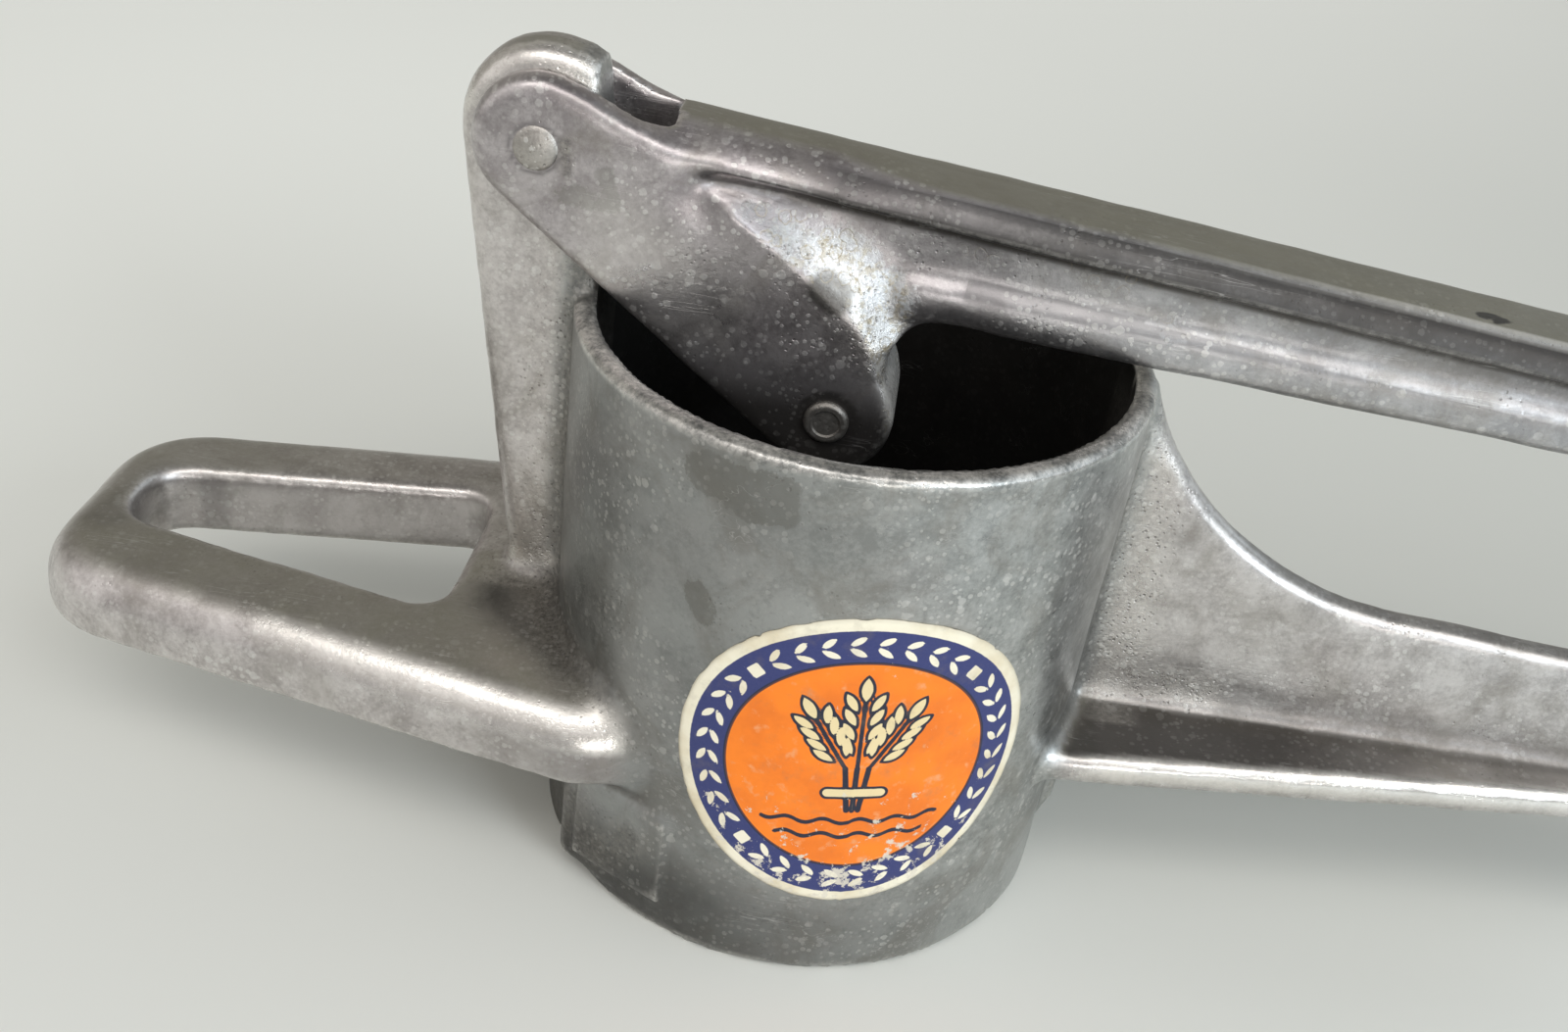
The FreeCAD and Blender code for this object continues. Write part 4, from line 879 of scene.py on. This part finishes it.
across, up = u * cosine - v * sine, u * sine + v * cosine
height = (LABEL_HEIGHT + up) * MM
wall = FOOT_RADIUS + (RIM_RADIUS - FOOT_RADIUS) * height / POT_HEIGHT
turn = LABEL_ANGLE + across * MM / wall
crease = 0.10 * np.exp(-((u + 0.4 + 0.02 * v) / 0.35) ** 2) * np.clip(-v / 12, 0.15, 1)
edge = np.clip((np.hypot(u, v) - LABEL_RADIUS + 1.2) / 1.2, 0, 1) ** 2
ripples = np.array([noise.noise(Vector((a * 0.35, b * 0.35, 4))) for a, b in zip(u, v)])
lift = (LABEL_LIFT + crease + 0.05 * ripples - 0.10 * edge) * MM
wrapped = np.stack([(wall + lift) * np.sin(turn), -(wall + lift) * np.cos(turn), height], 1)
paper.vertices.foreach_set("co", wrapped.ravel())
paper.update()
thick = label.modifiers.new("Paper", "SOLIDIFY")
thick.thickness = PAPER_THICKNESS * MM
thick.offset = -1
finished(label)
label.data.polygons.foreach_set("use_smooth", [True] * len(label.data.polygons))

label_finish = bpy.data.materials.new("Printed_paper")
label_finish.use_nodes = True
label_finish.node_tree.nodes.clear()
sheet = Wire(label_finish.node_tree)
spot = scaled(sheet.node("ShaderNodeTexCoord", {}, {}, "Object"), 1000, 1000, 1000)
reach, height_on_paper = share_of("paper_reach", sheet), share_of("paper_up", sheet)
dark_ink, cream_ink = share_of("dark_print", sheet), share_of("cream_print", sheet)
wander = (cloudy(spot, 1.3, 3) - 0.5) * 0.25
fibre = cloudy(spot, 2.6, 4)
cloud = cloudy(spot, 0.12, 5)
cream_paper = blended((0.88, 0.83, 0.67, 1), (0.70, 0.61, 0.43, 1), between(cloud, 0.42, 0.72))
navy = blended((0.030, 0.040, 0.150, 1), (0.055, 0.065, 0.185, 1), fibre)
orange = blended((0.98, 0.245, 0.020, 1), (0.82, 0.19, 0.020, 1), between(cloud, 0.35, 0.7))
orange = blended(orange, (0.86, 0.34, 0.13, 1), between(cloudy(spot, 0.5, 5), 0.56, 0.74))
black = (0.022, 0.026, 0.045, 1)
straw = (0.80, 0.66, 0.38, 1)
ring_area = between(reach + wander * 0.5, RING_OUTSIDE + 0.06, RING_OUTSIDE - 0.06)
middle = between(reach + wander * 0.3, RING_INSIDE + 0.06, RING_INSIDE - 0.06)
keyline = between(sheet.maths("ABSOLUTE", reach - RING_INSIDE), 0.28, 0.18)
colour = blended(cream_paper, navy, ring_area)
colour = blended(colour, cream_paper, between(cream_ink + wander * 0.4, 0.05, -0.05) * ring_area)
colour = blended(colour, orange, middle)
dark_area = between(dark_ink + wander * 0.4, 0.05, -0.05) * middle
colour = blended(colour, black, sheet.maths("MAXIMUM", dark_area, keyline * 0.9))
colour = blended(colour, straw, between(dark_ink + wander * 0.4, -0.38, -0.46) * middle)
rubbed_low = between(height_on_paper, 4, -24) * 0.13
scuffs = between(cloudy(scaled(spot, 1, 1, 0.5), 0.7, 6, 0.7), 0.685, 0.72)
worn_print = between(cloudy(spot, 0.42, 8, 0.72) + rubbed_low, 0.665, 0.70)
bare = sheet.maths("MAXIMUM", worn_print, scuffs * 0.8)
colour = blended(colour, (0.74, 0.69, 0.58, 1), bare * 0.85)
soil = between(cloudy(spot, 0.22, 6, 0.65), 0.52, 0.75)
colour = blended(colour, (0.20, 0.17, 0.13, 1), soil * 0.28 + between(reach, 24.2, 25.0) * 0.25)
rough = 0.42 + fibre * 0.16 + bare * 0.25
height = fibre * 0.02 + cloud * 0.05 - bare * 0.03
skin = sheet.node("ShaderNodeBump", {}, {"Height": height, "Distance": 0.001, "Strength": 0.7})
surface = sheet.node("ShaderNodeBsdfPrincipled", {}, {
    "Base Color": colour, "Roughness": rough, "Specular IOR Level": 0.3, "Normal": skin})
sheet.node("ShaderNodeOutputMaterial", {}, {"Surface": surface})
label.data.materials.append(label_finish)
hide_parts("round_label")
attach(label, "body")


# ---- Table, light and camera ----
# A pale satin table top, with soft light from above and from a window on the right. The camera
# looks down on the press from the front.
TABLE_HALF = 4
LENS = 38.25
CAMERA_PLACE = (0.0019, -0.2110, 0.1863)
AZIMUTH, ELEVATION, ROLL = math.radians(2.59), math.radians(32.38), math.radians(8.62)

table_mesh = bpy.data.meshes.new("table_top")
corners = [(x * TABLE_HALF, y * TABLE_HALF, 0) for x, y in ((-1, -1), (1, -1), (1, 1), (-1, 1))]
table_mesh.from_pydata(corners, [], [(0, 1, 2, 3)])
table = bpy.data.objects.new("table_top", table_mesh)
bpy.context.scene.collection.objects.link(table)
table_finish = bpy.data.materials.new("Satin_table")
table_finish.use_nodes = True
table_finish.node_tree.nodes.clear()
top = Wire(table_finish.node_tree)
spot = top.node("ShaderNodeTexCoord", {}, {}, "Object")
across = top.node("ShaderNodeSeparateXYZ", {}, {"Vector": spot}, "X")
away = top.node("ShaderNodeSeparateXYZ", {}, {"Vector": spot}, "Y")
# The table's colour carries painted light: a painted pool of light at the back left falling off into
# painted shade to the right and front, a paler bluish painted light to the right, and painted shade far
# in front and far to the right.
shade = between(across * 0.6 - away * 0.55 + (cloudy(spot, 3.0, 1) - 0.5) * 0.06, -0.30, 0.10)
colour = blended((0.98, 0.985, 0.93, 1), (0.635, 0.645, 0.605, 1), shade)
colour = blended(colour, (0.82, 0.825, 0.785, 1), between(away, 0.06, -0.14))
colour = blended(colour, (0.93, 0.97, 0.97, 1), between(across - away * 0.5, 0.10, 0.24))
colour = blended(colour, (0.38, 0.385, 0.365, 1), between(away, -0.15, -0.52))
colour = blended(colour, (0.42, 0.425, 0.405, 1), between(across - away * 0.7, 0.28, 0.75))
surface = top.node("ShaderNodeBsdfPrincipled", {}, {
    "Base Color": colour, "Roughness": 0.5, "Specular IOR Level": 0.15})
top.node("ShaderNodeOutputMaterial", {}, {"Surface": surface})
table_mesh.materials.append(table_finish)

world = bpy.data.worlds.new("Room")
bpy.context.scene.world = world
world.use_nodes = True
world.node_tree.nodes.clear()
room = Wire(world.node_tree)
sky = room.node("ShaderNodeTexCoord", {}, {}, "Generated")
side = room.node("ShaderNodeSeparateXYZ", {}, {"Vector": sky}, "X")
depth = room.node("ShaderNodeSeparateXYZ", {}, {"Vector": sky}, "Y")
upward = room.node("ShaderNodeSeparateXYZ", {}, {"Vector": sky}, "Z")
glow = blended((0.34, 0.33, 0.30, 1), (0.15, 0.145, 0.14, 1), between(upward, 0.72, 0.95))
glow = blended(glow, (0.98, 0.96, 0.94, 1), between(upward, 0.24, 0.55) * between(depth, 0.05, -0.40))
glow = blended(glow, (0.46, 0.455, 0.45, 1), between(upward, 0.30, 0.18) * between(depth, 0.10, -0.50))
glow = blended(glow, (0.84, 0.93, 1.00, 1), between(side, 0.25, 0.75) * between(upward, -0.02, 0.15))
glow = blended(glow, (0.80, 0.78, 0.76, 1), between(side, -0.35, -0.80) * between(depth, 0.15, -0.25))
backing = room.node("ShaderNodeBackground", {}, {"Color": glow, "Strength": 1.0})
room.node("ShaderNodeOutputWorld", {}, {"Surface": backing})


def add_lamp(name, place, target, width, height, power, colour):
    """A rectangular lamp that faces its target."""
    lamp = bpy.data.lights.new(name, "AREA")
    lamp.shape = "RECTANGLE"
    lamp.size, lamp.size_y = width, height
    lamp.energy = power
    lamp.color = colour
    made = bpy.data.objects.new(name, lamp)
    made.location = place
    made.rotation_euler = (Vector(target) - Vector(place)).to_track_quat("-Z", "Y").to_euler()
    bpy.context.scene.collection.objects.link(made)


add_lamp("ceiling", (0.05, -0.55, 0.95), (0.03, 0, 0.05), 1.3, 0.30, 3.0, (1.0, 0.97, 0.94))
add_lamp("low_front", (0.20, -0.90, 0.16), (0, 0, 0.08), 0.34, 0.12, 0.9, (1.0, 0.98, 0.95))
add_lamp("window", (0.80, -0.75, 0.50), (0.03, 0, 0.06), 0.35, 0.6, 4.2, (0.86, 0.94, 1.0))

back = Vector((math.sin(AZIMUTH) * math.cos(ELEVATION), -math.cos(AZIMUTH) * math.cos(ELEVATION),
               math.sin(ELEVATION)))
level = (-back).cross(Vector((0, 0, 1))).normalized()
upright = level.cross(-back)
right = level * math.cos(ROLL) + upright * math.sin(ROLL)
camera_up = upright * math.cos(ROLL) - level * math.sin(ROLL)
lens = bpy.data.cameras.new("view")
lens.lens = LENS
lens.sensor_width = 36
lens.clip_start = 0.01
camera = bpy.data.objects.new("view", lens)
camera.matrix_world = Matrix.Translation(CAMERA_PLACE) \
    @ Matrix((right, camera_up, back)).transposed().to_4x4()
bpy.context.scene.collection.objects.link(camera)
bpy.context.scene.camera = camera
bpy.context.scene.view_settings.view_transform = "Standard"
